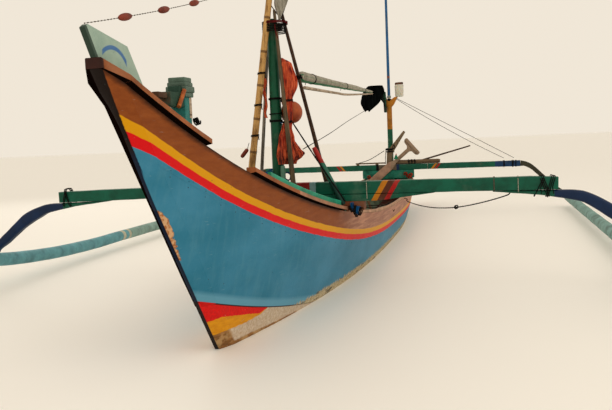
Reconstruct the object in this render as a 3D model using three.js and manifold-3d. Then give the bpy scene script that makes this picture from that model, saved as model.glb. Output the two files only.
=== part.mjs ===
// A planked sailing canoe with an outrigger float on each side, moored afloat.
// Millimetres. +X is port, -Y is the bow, +Z is up. The origin is amidships on
// the centreline at the waterline.

import * as THREE from 'three';
import { mergeVertices } from 'three/addons/utils/BufferGeometryUtils.js';
import Module from 'manifold-3d';

const wasm = await Module();
wasm.setup();

// Hull lines
const BOW_FOOT_Y = -4550;
const STERN_FOOT_Y = 4950;
const END_RAKE = 0.8;
const FOREFOOT_CURVE = 0.0035;
const KEEL_Z = -380;
const LOG_DEPTH = 400;
const END_HALF = 45;
const NOSE_SHARE = 0.45;
const FLARE_POWER = 0.8;
const END_POWER = 2.6;
const END_POWER_FLARE = 0.4;
const WATER_HALF = 445;
const RAIL_HALF_EXTRA = 130;
const FLARE_Z = 520;
const SHEER_LOW_Z = 480;
const SHEER_LOW_Y = 1200;
const BOW_RISE = 1170;
const BOW_RUN = 7050;
const BOW_POWER = 3.15;
const STERN_RISE = 310;
const STERN_RUN = 4650;
const STERN_POWER = 2.4;
const BAND_DROP = 245;
const SEAM_LOW_Z = -120;
const SEAM_RISE = 488;
const SEAM_BOW_START_Y = -1200;
const SEAM_STERN_START_Y = 1600;
const SEAM_RUN = 3650;
const SEAM_POWER = 2.3;
const STATIONS = 28;

// Hull timber
const PLANK = 28;
const LOG_WALL = 60;
const LOG_FLOOR = 70;
const POST_DEPTH = 110;
const POST_FOOT_Z = 330;
const GAP = 0.3;
const SEAM_GAP = 0.6;
const TRIM_REACH = 14;
const LET_IN = 10;
const PAST = 40;
const WALE_HIGH = 36;
const WALE_OUT = 34;
const WASH_HIGH = 46;
const WASH_THICK = 24;

// Cross booms, bearers, arms and floats
const FORE_BOOM_Y = -2805;
const AFT_BOOM_Y = 3870;
const BOOM_TIMBER = 107;
const FORE_BOOM_Z = 819.5;
const AFT_BOOM_Z = 702;
const AFT_BOOM_HIGH = 98;
const AFT_BOOM_TOP_Z = AFT_BOOM_Z + AFT_BOOM_HIGH;
const AFT_BOOM_DEEP = 116;
const DOUBLER_DEEP = 54;
const STBD_END_DROP = 24;
const FORE_ARM_THICK = 90;
const AFT_ARM_THICK = 80;
const BOOM_REACH = 2190;
const FLOAT_X = 2960;
const FLOAT_Z = 150;
const FLOAT_RADIUS = 65;
const FLOAT_AFT_Y = 4150;
const FLOAT_BEND_Y = -1000;
const FLOAT_FORE_Y = -4350;
const FLOAT_RISE = 425;
const FLOAT_SLIM_FROM = 0.8;
const FLOAT_SLIM = 0.45;

// Tripod mast and what hangs on it
const MAST_X = -10;
const MAST_Y = -2950;
const MAST_TOP_Z = 2265;
const MAST_FOOT_RADIUS = 56;
const MAST_TOP_RADIUS = 42;
const MAST_SIDES = 16;
const HEAD_LASHING_Z = [2150, 2245];
const HEAD_LASHING_RADII = [92, 100];
const HEAD_LASHING_SHIFT = 20;
const THWART_Z = 664;
const THWART_LIFT = 16;
const THWART_THICK = 32;

// Lifting sail boom and the crutch that holds its aft end
const HINGE = [145, -2698, 1814];
const EYE_RADIUS = 20;
const EYE_HALF = 30;
const LASHING_EYE_HALF = 40;
const LASHING_RADII = [31, 30];
const BOOM_TIP = [-214, 3720, 2046];
const CRUTCH_X = 50;
const CRUTCH_TOP_Z = 1800;
const FORK_TOP_Z = 1950;
const SIGNAL_POLE_TOP_Z = 3900;

const paint = (color, roughness = 0.7) =>
  new THREE.MeshStandardMaterial({ color, roughness, metalness: 0 });

const MATERIALS = {
  blue: paint(0x3f87a6),
  darkBlue: paint(0x14305a),
  bands: paint(0x8a4a22),
  rail: paint(0xb06a3a),
  turquoise: paint(0x2f9d80),
  palegreen: paint(0x6f9c8a),
  green: paint(0x0f5c45),
  yellow: paint(0xc07a1c),
  brown: paint(0x5a3a24),
  rawWood: paint(0x8d7358, 0.9),
  bamboo: paint(0xb59a63, 0.6),
  floatBlue: paint(0x6fa3ab, 0.8),
  sail: paint(0x9a968a, 0.95),
  orange: paint(0xc2451a, 0.95),
  black: paint(0x101010, 0.9),
  white: paint(0xd8d4c8, 0.5),
  rope: paint(0x2c2a28, 0.95),
};

const canoe = new THREE.Group();

function add(name, geometry, material, parent = canoe) {
  const mesh = new THREE.Mesh(geometry, MATERIALS[material]);
  mesh.name = name;
  parent.add(mesh);
  return mesh;
}

// Closed body from shared vertices, turned so that its faces point out.
function closedGeometry(points, triangles) {
  let volume = 0;
  for (const [a, b, c] of triangles) {
    const [p, q, r] = [points[a], points[b], points[c]];
    volume += p[0] * (q[1] * r[2] - q[2] * r[1])
      - p[1] * (q[0] * r[2] - q[2] * r[0])
      + p[2] * (q[0] * r[1] - q[1] * r[0]);
  }
  const index = volume < 0 ? triangles.map(([a, b, c]) => [a, c, b]) : triangles;
  const geometry = new THREE.BufferGeometry();
  geometry.setAttribute('position', new THREE.Float32BufferAttribute(points.flat(), 3));
  geometry.setIndex(index.flat());
  geometry.computeVertexNormals();
  return geometry;
}

// Wall between two grids of the same size, such as a plank's two faces.
function wall(outer, inner) {
  const rows = outer.length;
  const cols = outer[0].length;
  const points = [...outer.flat(), ...inner.flat()];
  const at = (side, i, j) => side * rows * cols + i * cols + j;
  const triangles = [];
  const quad = (a, b, c, d) => triangles.push([a, b, c], [a, c, d]);
  for (let i = 0; i + 1 < rows; i += 1) {
    for (let j = 0; j + 1 < cols; j += 1) {
      quad(at(0, i, j), at(0, i + 1, j), at(0, i + 1, j + 1), at(0, i, j + 1));
      quad(at(1, i, j), at(1, i, j + 1), at(1, i + 1, j + 1), at(1, i + 1, j));
    }
    quad(at(0, i, 0), at(1, i, 0), at(1, i + 1, 0), at(0, i + 1, 0));
    const j = cols - 1;
    quad(at(0, i, j), at(0, i + 1, j), at(1, i + 1, j), at(1, i, j));
  }
  for (let j = 0; j + 1 < cols; j += 1) {
    quad(at(0, 0, j), at(0, 0, j + 1), at(1, 0, j + 1), at(1, 0, j));
    const i = rows - 1;
    quad(at(0, i, j), at(1, i, j), at(1, i, j + 1), at(0, i, j + 1));
  }
  return closedGeometry(points, triangles);
}

// Body through a row of rings, closed by a fan at each end.
function loft(rings) {
  const count = rings[0].length;
  const points = rings.flat();
  const triangles = [];
  for (let i = 0; i + 1 < rings.length; i += 1) {
    for (let j = 0; j < count; j += 1) {
      const k = (j + 1) % count;
      const a = i * count + j;
      const b = i * count + k;
      triangles.push([a, b, b + count], [a, b + count, a + count]);
    }
  }
  const cap = (start, flip) => {
    const ring = points.slice(start, start + count);
    const centre = [0, 1, 2].map((n) => ring.reduce((sum, p) => sum + p[n], 0) / count);
    const middle = points.push(centre) - 1;
    for (let j = 0; j < count; j += 1) {
      const k = (j + 1) % count;
      triangles.push(flip ? [middle, start + j, start + k] : [middle, start + k, start + j]);
    }
  };
  const last = (rings.length - 1) * count;
  cap(0, false);
  cap(last, true);
  return closedGeometry(points, triangles);
}

function ringAt(centre, normal, binormal, radius, sides) {
  return Array.from({ length: sides }, (_, j) => {
    const angle = (2 * Math.PI * j) / sides;
    return centre.clone()
      .addScaledVector(normal, radius * Math.cos(angle))
      .addScaledVector(binormal, radius * Math.sin(angle))
      .toArray();
  });
}

// Round bar of changing radius along a curve, in the curve's own frames.
function roundBar(curve, radiusAt, sides, steps) {
  const { normals, binormals } = curve.computeFrenetFrames(steps, false);
  return loft(normals.map((normal, i) => {
    const t = i / steps;
    return ringAt(curve.getPointAt(t), normal, binormals[i], radiusAt(t), sides);
  }));
}

// Straight round bar with a radius at each named part of its length.
function turnedBar(from, to, stations, sides) {
  const line = new THREE.LineCurve3(vector(from), vector(to));
  const { normals, binormals } = line.computeFrenetFrames(1, false);
  return loft(stations.map(({ part, radius }) => (
    ringAt(line.getPoint(part), normals[0], binormals[0], radius, sides))));
}

const vector = (p) => new THREE.Vector3(...p);

function pole(from, to, fromRadius, toRadius, sides = 12) {
  const line = new THREE.LineCurve3(vector(from), vector(to));
  return roundBar(line, (t) => fromRadius + (toRadius - fromRadius) * t, sides, 1);
}

// Pole whose slanting foot clears the level face that it stands on.
function standingPole(foot, head, fromRadius, toRadius, sides) {
  const reach = Math.hypot(head[0] - foot[0], head[1] - foot[1]) / (head[2] - foot[2]);
  const lift = fromRadius * reach + GAP;
  return pole([foot[0], foot[1], foot[2] + lift], head, fromRadius, toRadius, sides);
}

function bentBar(route, radiusAt, sides, steps) {
  return roundBar(new THREE.CatmullRomCurve3(route.map(vector)), radiusAt, sides, steps);
}

function box(min, max) {
  const size = max.map((value, n) => value - min[n]);
  const geometry = new THREE.BoxGeometry(...size);
  geometry.translate(...max.map((value, n) => (value + min[n]) / 2));
  return geometry;
}

// Flat outline in X and Z, given depth in Y about a middle.
function slabXZ(outline, middleY, depth) {
  const shape = new THREE.Shape(outline.map(([x, z]) => new THREE.Vector2(x, z)));
  const geometry = new THREE.ExtrudeGeometry(shape, { depth, bevelEnabled: false, steps: 1 });
  geometry.rotateX(Math.PI / 2);
  geometry.translate(0, middleY + depth / 2, 0);
  return geometry;
}

// Flat outline in Y and Z, given a thickness in X about a middle.
function slabYZ(outline, middleX, thickness) {
  const shape = new THREE.Shape(outline.map(([y, z]) => new THREE.Vector2(y, z)));
  const geometry = new THREE.ExtrudeGeometry(shape, { depth: thickness, bevelEnabled: false });
  geometry.applyMatrix4(new THREE.Matrix4().set(0, 0, 1, 0, 1, 0, 0, 0, 0, 1, 0, 0, 0, 0, 0, 1));
  geometry.translate(middleX - thickness / 2, 0, 0);
  return geometry;
}

function toSolid(geometry) {
  const bare = geometry.clone();
  bare.deleteAttribute('normal');
  bare.deleteAttribute('uv');
  const merged = mergeVertices(bare);
  return new wasm.Manifold(new wasm.Mesh({
    numProp: 3,
    vertProperties: merged.attributes.position.array,
    triVerts: new Uint32Array(merged.index.array),
  }));
}

function toGeometry(solid) {
  const mesh = solid.getMesh();
  const geometry = new THREE.BufferGeometry();
  geometry.setAttribute('position', new THREE.BufferAttribute(mesh.vertProperties, 3));
  geometry.setIndex(new THREE.BufferAttribute(mesh.triVerts, 1));
  geometry.computeVertexNormals();
  return geometry;
}

const cut = (body, ...tools) =>
  toGeometry(tools.reduce((left, tool) => left.subtract(toSolid(tool)), toSolid(body)));

const join = (...bodies) =>
  toGeometry(bodies.slice(1).reduce((sum, body) => sum.add(toSolid(body)), toSolid(bodies[0])));

// Where the stem and the stern stand at a height.
function bowY(z) {
  const curve = z < 0 ? FOREFOOT_CURVE * z * z : 0;
  return BOW_FOOT_Y - END_RAKE * z + curve;
}

function sternY(z) {
  const curve = z < 0 ? FOREFOOT_CURVE * z * z : 0;
  return STERN_FOOT_Y + END_RAKE * z - curve;
}

// Half the hull's breadth at a place along it and a height.
function halfBreadth(y, z) {
  const middle = (bowY(z) + sternY(z)) / 2;
  const half = (sternY(z) - bowY(z)) / 2;
  const along = Math.min(1, Math.abs((y - middle) / half));
  const flare = Math.min(1, Math.max(0, z / FLARE_Z));
  const nose = Math.min(1, (half - Math.min(half, Math.abs(y - middle))) / POST_DEPTH);
  const end = END_HALF * (NOSE_SHARE + (1 - NOSE_SHARE) * nose);
  const above = WATER_HALF + RAIL_HALF_EXTRA * flare ** FLARE_POWER;
  const below = WATER_HALF * Math.sqrt(Math.max(0, 1 - (z / LOG_DEPTH) ** 2));
  const power = END_POWER + END_POWER_FLARE * flare;
  return end + (z > 0 ? above : below) * (1 - along ** power);
}

function sheer(y) {
  const run = y - SHEER_LOW_Y;
  if (run < 0) return SHEER_LOW_Z + BOW_RISE * (-run / BOW_RUN) ** BOW_POWER;
  return SHEER_LOW_Z + STERN_RISE * (run / STERN_RUN) ** STERN_POWER;
}

const bandLine = (y) => sheer(y) - BAND_DROP;

function seamLine(y) {
  const run = Math.max(SEAM_BOW_START_Y - y, y - SEAM_STERN_START_Y) / SEAM_RUN;
  return SEAM_LOW_Z + SEAM_RISE * Math.max(0, run) ** SEAM_POWER;
}

const keelLine = () => KEEL_Z;

// Height of a line on the hull at a part u of the way from stem to stern.
function heightAt(line, u, inset) {
  let z = 0;
  for (let n = 0; n < 8; n += 1) {
    z = line(bowY(z) + inset + u * (sternY(z) - bowY(z) - 2 * inset));
  }
  return z;
}

const stationAt = (i, count) => (1 - Math.cos((Math.PI * i) / count)) / 2;

// Grid of points on the hull between two lines, moved in by a depth.
function hullGrid({ low, high, inset, depth, levels, from = 0, to = 1, stations = STATIONS }) {
  const grid = [];
  for (let i = 0; i <= stations; i += 1) {
    const u = from + (to - from) * stationAt(i, stations);
    const lowZ = heightAt(low, u, inset);
    const highZ = heightAt(high, u, inset);
    const row = [];
    for (let j = 0; j <= levels; j += 1) {
      const z = lowZ + ((highZ - lowZ) * j) / levels;
      const y = bowY(z) + inset + u * (sternY(z) - bowY(z) - 2 * inset);
      row.push([halfBreadth(y, z) - depth, y, z]);
    }
    grid.push(row);
  }
  return grid;
}

const mirrored = (grid) => grid.map((row) => row.map(([x, y, z]) => [-x, y, z]));

const raised = (line, rise) => (y) => line(y) + rise;

const LOWER_STRAKE = {
  low: raised(seamLine, -10), high: bandLine, inset: POST_DEPTH, levels: 3,
};
const UPPER_STRAKE = {
  low: raised(bandLine, SEAM_GAP), high: sheer, inset: POST_DEPTH, levels: 2,
};

// Planking of one side between two lines, as it is or grown by a little.
function strake(settings, side, grown = 0) {
  const faces = [-grown, PLANK + grown].map((depth) => hullGrid({ ...settings, depth }));
  return side > 0 ? wall(...faces) : wall(...faces.map(mirrored));
}

// Top edge of the planks, station by station, that rails and bearers sit on.
const SHEER_EDGE = hullGrid({
  low: bandLine, high: sheer, inset: POST_DEPTH, depth: 0, levels: 1,
}).map((row) => row[1]);

function edgeAt(y) {
  const next = SHEER_EDGE.findIndex((spot) => spot[1] > y);
  const [a, b] = [SHEER_EDGE[next - 1], SHEER_EDGE[next]];
  const part = (y - a[1]) / (b[1] - a[1]);
  return a.map((value, n) => value + (b[n] - value) * part);
}

const acrossHull = (grid) => wall(grid, mirrored(grid));

// The log as a full body, or that body grown a little to trim what sits on it.
function logBody(grown) {
  const settings = { low: keelLine, high: raised(seamLine, grown), inset: 0, levels: 5 };
  return acrossHull(hullGrid({ ...settings, depth: grown > 0 ? -TRIM_REACH : 0 }));
}

// Hollow log that the whole hull is built on, closed at its two noses.
function keelLog() {
  const hollow = hullGrid({
    low: () => KEEL_Z + LOG_FLOOR,
    high: raised(seamLine, 40),
    inset: 0,
    depth: LOG_WALL,
    levels: 4,
    from: 0.1,
    to: 0.9,
  });
  return cut(logBody(0), acrossHull(hollow));
}

// Planks grown by the fitting gap, which trim what is fitted against them.
function plankTrimmer(side) {
  const lower = { ...LOWER_STRAKE, high: raised(bandLine, 1) };
  return join(strake(lower, side, GAP), strake(UPPER_STRAKE, side, GAP));
}

// Posts by height: half width of the nose and how far aft of its line it stands.
const STEM_NOSE = [
  { z: POST_FOOT_Z, half: 20, aft: 0 },
  { z: 1000, half: 15, aft: 3 },
  { z: 1200, half: 11, aft: 18 },
  { z: 1380, half: 10, aft: 32 },
  { z: 1450, half: 16, aft: 30 },
  { z: 1530, half: 29, aft: 18 },
  { z: 1630, half: 34, aft: 26 },
];
const STERN_NOSE = [
  { z: POST_FOOT_Z, half: 20, aft: 0 },
  { z: 580, half: 22, aft: 0 },
  { z: 820, half: 26, aft: 0 },
];

function endPost(edgeY, towards, noses) {
  return loft(noses.map(({ z, half, aft }) => {
    const front = edgeY(z) + towards * aft;
    const back = edgeY(z) + towards * (POST_DEPTH - GAP);
    const backHalf = halfBreadth(back, z);
    return [[-half, front, z], [half, front, z], [backHalf, back, z], [-backHalf, back, z]];
  }));
}

// Block on the stem that the two rail strips run into.
const STEM_HEAD = { half: 41, y: -5830, low: 1630, top: 1678 };

function stemHead() {
  const [x, y, z] = SHEER_EDGE[0];
  const back = { half: x + WALE_OUT, y: y - GAP, low: z + GAP, top: z + GAP + WALE_HIGH };
  return loft([STEM_HEAD, back].map(({ half, y: place, low, top }) => [
    [-half, place, low], [half, place, low], [half, place, top], [-half, place, top],
  ]));
}

// Strip of timber that follows the planks' top edge, by its height and depth range.
function sheerStrip({ from, to, base, high, out, thick, side }) {
  const inside = SHEER_EDGE.filter(([, y]) => y > from && y < to);
  const spots = [edgeAt(from), ...inside, edgeAt(to)];
  const faces = [out, out - thick].map((reach) => spots.map(([x, y, z]) => [
    [side * (x + reach), y, z + base],
    [side * (x + reach), y, z + base + high],
  ]));
  return wall(faces[0], faces[1]);
}

// Ribs and the stringer that ties them, lying on the inside of the planks.
const RIB_YS = [-3650, -2560, -1700, -900, 100, 1000, 1900, 2800, 3600];
const RIB_WIDE = 45;
const RIB_THICK = 30;
const STRINGER_DROP = 190;
const STRINGER_HIGH = 60;
const STRINGER_REACH = 4400;

function frames(side) {
  const spotOn = (y, z, offset) => [side * (halfBreadth(y, z) + offset), y, z];
  const backing = (rowAt) => wall(rowAt(LET_IN - PLANK), rowAt(-PLANK - RIB_THICK));
  const rib = (y) => backing((offset) => [y - RIB_WIDE / 2, y + RIB_WIDE / 2]
    .map((spot) => [0, 0.25, 0.5, 0.75, 1].map((part) => {
      const low = seamLine(spot) + 40;
      return spotOn(spot, low + (sheer(spot) - 25 - low) * part, offset);
    })));
  const places = SHEER_EDGE.map(([, y]) => y).filter((y) => Math.abs(y) < STRINGER_REACH);
  const stringer = backing((offset) => places.map((y) => [0, STRINGER_HIGH]
    .map((rise) => spotOn(y, sheer(y) - STRINGER_DROP + rise, offset))));
  return cut(join(stringer, ...RIB_YS.map(rib)), plankTrimmer(side));
}

const DECK_STATIONS = 6;

// Deck or thwart trimmed to the planks, level or following the sheer.
function boards({ from, to, drop, thick, levelZ, stations = DECK_STATIONS }) {
  const grids = [0, -thick].map((offset) => {
    const grid = [];
    for (let i = 0; i <= stations; i += 1) {
      const y = from + ((to - from) * i) / stations;
      const z = (levelZ ?? sheer(y) - drop) + offset;
      const half = halfBreadth(y, z) - PLANK + LET_IN;
      grid.push([-1, 0, 1].map((side) => [side * half, y, z]));
    }
    return grid;
  });
  return cut(wall(grids[0], grids[1]), plankTrimmer(1), plankTrimmer(-1));
}

function addHull() {
  add('keel_log', keelLog(), 'blue');
  const sides = [['port', 1], ['stbd', -1]];
  for (const [label, side] of sides) {
    add(`side_planks_${label}`, cut(strake(LOWER_STRAKE, side), logBody(SEAM_GAP)), 'blue');
    add(`top_planks_${label}`, strake(UPPER_STRAKE, side), 'bands');
    add(`frames_${label}`, frames(side), 'rawWood');
  }
  const stem = join(endPost(bowY, 1, STEM_NOSE), stemHead());
  add('stem_post', cut(stem, logBody(SEAM_GAP)), 'darkBlue');
  add('stern_post', cut(endPost(sternY, -1, STERN_NOSE), logBody(SEAM_GAP)), 'darkBlue');
}

// Rail strips and washstrakes: where each starts and ends along the hull.
const RAIL_HEAD_Y = SHEER_EDGE[0][1] + 1;
const RAIL_END_Y = -2862;
const WALES = [
  { name: 'wale_port_bow', from: RAIL_HEAD_Y, to: -5030, side: 1 },
  { name: 'wale_port', from: -4545, to: RAIL_END_Y, side: 1 },
  { name: 'wale_stbd', from: RAIL_HEAD_Y, to: RAIL_END_Y, side: -1 },
];
const WASHSTRAKES = [
  { name: 'washstrake_port', from: -4270, to: -2925, side: 1 },
  { name: 'washstrake_stbd', from: -4270, to: -2925, side: -1 },
];

function addRails() {
  const wale = { base: GAP, high: WALE_HIGH, out: WALE_OUT, thick: WALE_OUT + PLANK };
  for (const { name, ...place } of WALES) add(name, sheerStrip({ ...wale, ...place }), 'rail');
  const wash = { base: WALE_HIGH + 2 * GAP, high: WASH_HIGH, out: 0, thick: WASH_THICK };
  for (const { name, ...place } of WASHSTRAKES) {
    add(name, sheerStrip({ ...wash, ...place }), 'turquoise');
  }
}

// Decks by how far below the planks' top edge they lie.
const FORE_DECK = { name: 'fore_deck', from: -5300, to: -4300, drop: 90 };
const AFT_DECK = { name: 'aft_deck', from: 4400, to: 5320, drop: 60 };

// Blade above the stem head, whose own top edge closes the outline below.
const BLADE = [
  [-5908, 1798], [-5880, 1815], [-5529, 1759], [-5384, 1578], [-5345, 1335], [-5500, 1360],
  [-5600, 1462],
];
const BLADE_THICK = 30;
const DECK_THICK = 24;
const FLOOR = { halfWide: 120, from: -2700, to: 2900, top: -285 };

function addDecks() {
  const [, headY, headZ] = SHEER_EDGE[0];
  const foot = [[headY, headZ + WALE_HIGH + 2 * GAP], [STEM_HEAD.y, STEM_HEAD.top + GAP]];
  add('bow_blade', slabYZ([...BLADE, ...foot], 0, BLADE_THICK), 'palegreen');
  for (const { name, ...place } of [FORE_DECK, AFT_DECK]) {
    add(name, boards({ ...place, thick: DECK_THICK }), 'turquoise');
  }
  const { halfWide, from, to, top } = FLOOR;
  const low = KEEL_Z + LOG_FLOOR + GAP;
  add('floor_boards', box([-halfWide, from, low], [halfWide, to, top]), 'rawWood');
}

// Thwarts by place along the hull: middle y and width.
const THWARTS = [
  { name: 'thwart_fore', y: -2250, wide: 200 },
  { name: 'thwart_mid', y: -300, wide: 200 },
  { name: 'thwart_aft', y: 2300, wide: 200 },
];

const MAST_THWART = { from: -3170, to: -2770 };

const thwartTop = (y) => sheer(y) - STRINGER_DROP + STRINGER_HIGH + THWART_THICK + THWART_LIFT;

function addThwarts() {
  for (const { name, y, wide } of THWARTS) {
    const levelZ = thwartTop(y);
    const board = boards({
      from: y - wide / 2, to: y + wide / 2, levelZ, thick: THWART_THICK, stations: 1,
    });
    add(name, board, 'rawWood');
  }
  const { from, to } = MAST_THWART;
  const board = boards({ from, to, levelZ: THWART_Z, thick: THWART_THICK, stations: 2 });
  const hole = mastBar(THWART_Z - 2 * THWART_THICK, THWART_Z + THWART_THICK, 1);
  add('mast_thwart', cut(board, hole), 'rawWood');
}

// Mast between two heights, as it is or grown by a little.
const MAST_FOOT_Z = KEEL_Z + LOG_FLOOR + 28;

function mastBar(lowZ, highZ, grown) {
  const fall = (MAST_FOOT_RADIUS - MAST_TOP_RADIUS) / (MAST_TOP_Z - MAST_FOOT_Z);
  const [low, high] = [lowZ, highZ].map((z) => MAST_FOOT_RADIUS - fall * (z - MAST_FOOT_Z) + grown);
  return pole([MAST_X, MAST_Y, lowZ], [MAST_X, MAST_Y, highZ], low, high, MAST_SIDES);
}

// Carved post on the sloping fore deck: half width and height of its tiers.
const BITT_Y = -4900;
const BITT_HALF = 44;
const BITT_TOP_Z = 1656;
const BITT_TIERS = [
  { half: 62, from: -110, to: -50 },
  { half: 50, from: -50, to: 0 },
];

function addBitt() {
  const step = (FORE_DECK.to - FORE_DECK.from) / DECK_STATIONS;
  const deckTop = (y) => {
    const from = FORE_DECK.from + step * Math.floor((y - FORE_DECK.from) / step);
    const part = (y - from) / step;
    return sheer(from) * (1 - part) + sheer(from + step) * part - FORE_DECK.drop;
  };
  const [front, back] = [BITT_Y - BITT_HALF, BITT_Y + BITT_HALF];
  const neck = BITT_TOP_Z + BITT_TIERS[0].from;
  const post = slabYZ([
    [front, deckTop(front) + GAP], [back, deckTop(back) + GAP], [back, neck], [front, neck],
  ], 0, 2 * BITT_HALF);
  const tiers = BITT_TIERS.map(({ half, from, to }) => box(
    [-half, BITT_Y - half, BITT_TOP_Z + from],
    [half, BITT_Y + half, BITT_TOP_Z + to],
  ));
  add('bitt', join(post, ...tiers), 'palegreen');
}

// Boom timbers as outlines in X and in Z above the timber's own underside.
const FORE_BOOM_PORT = [
  [-900, 0], [BOOM_REACH, 0], [BOOM_REACH, 100], [2000, BOOM_TIMBER], [-900, BOOM_TIMBER],
];
const FORE_BOOM_STBD = [
  [1000, 0], [-1000, 0], [-BOOM_REACH, -STBD_END_DROP], [-BOOM_REACH, 80],
  [-1000, BOOM_TIMBER - 6], [1000, BOOM_TIMBER - 6],
];
const FORE_DOUBLER = [[-850, 0], [-700, -DOUBLER_DEEP], [800, -DOUBLER_DEEP], [1250, 0]];
const AFT_BOOM = [
  [-BOOM_REACH, 0], [BOOM_REACH, 0], [BOOM_REACH, AFT_BOOM_HIGH], [-BOOM_REACH, AFT_BOOM_HIGH],
];
const FORE_BEARER = { from: -620, to: 680, half: BOOM_TIMBER / 2 };
const AFT_BEARER = { from: -440, to: 440, half: 50 };

const lifted = (outline, rise) => outline.map(([x, z]) => [x, z + rise]);

// Bearer from the planks' top edge up to a height.
function bearer({ from, to, half }, y, top) {
  const foot = Math.max(edgeAt(y - half)[2], edgeAt(y + half)[2]) + GAP;
  return box([from, y - half, foot], [to, y + half, top]);
}

function addBooms() {
  const port = slabXZ(lifted(FORE_BOOM_PORT, FORE_BOOM_Z), FORE_BOOM_Y, BOOM_TIMBER);
  add('fore_boom_port', port, 'green');
  const stbdY = FORE_BOOM_Y + BOOM_TIMBER + GAP;
  add('fore_boom_stbd', slabXZ(lifted(FORE_BOOM_STBD, FORE_BOOM_Z), stbdY, BOOM_TIMBER), 'green');
  const doublerTop = FORE_BOOM_Z - GAP;
  add('fore_doubler', slabXZ(lifted(FORE_DOUBLER, doublerTop), FORE_BOOM_Y, BOOM_TIMBER), 'green');
  const bearerTop = doublerTop - DOUBLER_DEEP - GAP;
  add('fore_bearer', bearer(FORE_BEARER, FORE_BOOM_Y, bearerTop), 'rail');
  add('aft_boom', slabXZ(lifted(AFT_BOOM, AFT_BOOM_Z), AFT_BOOM_Y, AFT_BOOM_DEEP), 'green');
  add('aft_bearer', bearer(AFT_BEARER, AFT_BOOM_Y, AFT_BOOM_Z - GAP), 'brown');
}

// Crooked arms from the boom ends down to the floats, as X and Z outlines.
const FORE_ARM_TOP = [
  [2195, 852], [2333, 846], [2418, 815], [2580, 708], [2760, 560], [2900, 440], [2990, 380],
];
const FORE_ARM_FOOT = [
  [2900, 350], [2790, 420], [2580, 576], [2425, 684], [2330, 727], [2170, 758], [1990, 783],
];
const AFT_ARM_TOP = [
  [2195, 802], [2300, 770], [2400, 705], [2535, 575], [2700, 410], [2860, 290], [2990, 235],
];
const AFT_ARM_FOOT = [
  [2890, 218], [2800, 262], [2660, 370], [2480, 540], [2360, 650], [2260, 700], [2195, 702],
];

const floatZ = (y) => FLOAT_Z
  + FLOAT_RISE * Math.max(0, (FLOAT_BEND_Y - y) / (FLOAT_BEND_Y - FLOAT_FORE_Y)) ** 2;

function addArms() {
  const drop = FORE_BOOM_Z - GAP;
  for (const [label, side] of [['port', 1], ['stbd', -1]]) {
    const low = side < 0 ? STBD_END_DROP : 0;
    const foreY = side > 0 ? FORE_BOOM_Y : FORE_BOOM_Y + BOOM_TIMBER + GAP;
    const fore = [
      [1700, drop - low * 0.6], [2190, drop - low], [2190 + GAP, drop - low],
      ...FORE_ARM_TOP.map(([x, z]) => [x, z - (x < 2500 ? low : 0)]),
      [3010, floatZ(foreY)], [2940, floatZ(foreY)],
      ...FORE_ARM_FOOT.map(([x, z]) => [x, z - (x < 2300 ? low : 0)]),
    ];
    const aft = [...AFT_ARM_TOP, [3010, FLOAT_Z + 20], [2950, FLOAT_Z + 20],
      ...AFT_ARM_FOOT];
    const turn = (outline) => outline.map(([x, z]) => [side * x, z]);
    const seat = floatBar(side, 0.5);
    add(`fore_arm_${label}`, cut(slabXZ(turn(fore), foreY, FORE_ARM_THICK), seat), 'darkBlue');
    add(`aft_arm_${label}`, cut(slabXZ(turn(aft), AFT_BOOM_Y, AFT_ARM_THICK), seat), 'brown');
  }
}

function floatBar(side, grown) {
  const route = [];
  for (let i = 0; i <= 8; i += 1) {
    const y = FLOAT_AFT_Y + ((FLOAT_FORE_Y - FLOAT_AFT_Y) * i) / 8;
    route.push([side * FLOAT_X, y, floatZ(y)]);
  }
  const slimRun = (t) => Math.max(0, (t - FLOAT_SLIM_FROM) / (1 - FLOAT_SLIM_FROM));
  const radiusAt = (t) => FLOAT_RADIUS * (1 - FLOAT_SLIM * slimRun(t) ** 1.5) + grown;
  return bentBar(route, radiusAt, 12, 16);
}

function addFloats() {
  add('float_port', floatBar(1, 0), 'floatBlue');
  add('float_stbd', floatBar(-1, 0), 'floatBlue');
}

// Poles of the tripod: foot, head and the two radii.
const POLES = [
  {
    name: 'bamboo_pole', foot: [-274, -3040, THWART_Z], head: [51, -3018, 2750],
    radii: [30, 25], material: 'bamboo',
  },
  {
    name: 'grey_pole', foot: [-212, -2880, THWART_Z], head: [-40, -2905, 2330],
    radii: [15, 12], material: 'rawWood',
  },
  {
    name: 'side_spar', foot: [160, -3060, THWART_Z], head: [28, -2998, 2330],
    radii: [23, 12], material: 'rawWood',
  },
];

const DARK_SPAR = {
  foot: [330, -2300, thwartTop(-2250)], head: [66, -2925, 2330], radii: [20, 13],
};
const CHEEK_SPOT = [52, -3032];
const CHEEK_TOP_Z = 1080;
const CHEEK_RADII = [22, 20];

function along(from, to, part) {
  return from.map((value, n) => value + (to[n] - value) * part);
}

function grownPole({ foot, head, radii }, grown) {
  const past = along(foot, head, 1 + grown / (head[2] - foot[2]));
  return standingPole(foot, past, radii[0] + grown, radii[1] + grown);
}

function addTripod() {
  add('mast', mastBar(MAST_FOOT_Z, MAST_TOP_Z, 0), 'green');
  for (const { name, foot, head, radii, material } of POLES) {
    add(name, standingPole(foot, head, radii[0], radii[1]), material);
  }
  const { foot, head, radii } = DARK_SPAR;
  add('dark_spar', standingPole(foot, head, radii[0], radii[1]), 'brown');
  const cheekFoot = [...CHEEK_SPOT, THWART_Z + GAP];
  add('mast_cheek', pole(cheekFoot, [...CHEEK_SPOT, CHEEK_TOP_Z], ...CHEEK_RADII, 8), 'palegreen');
}

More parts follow.
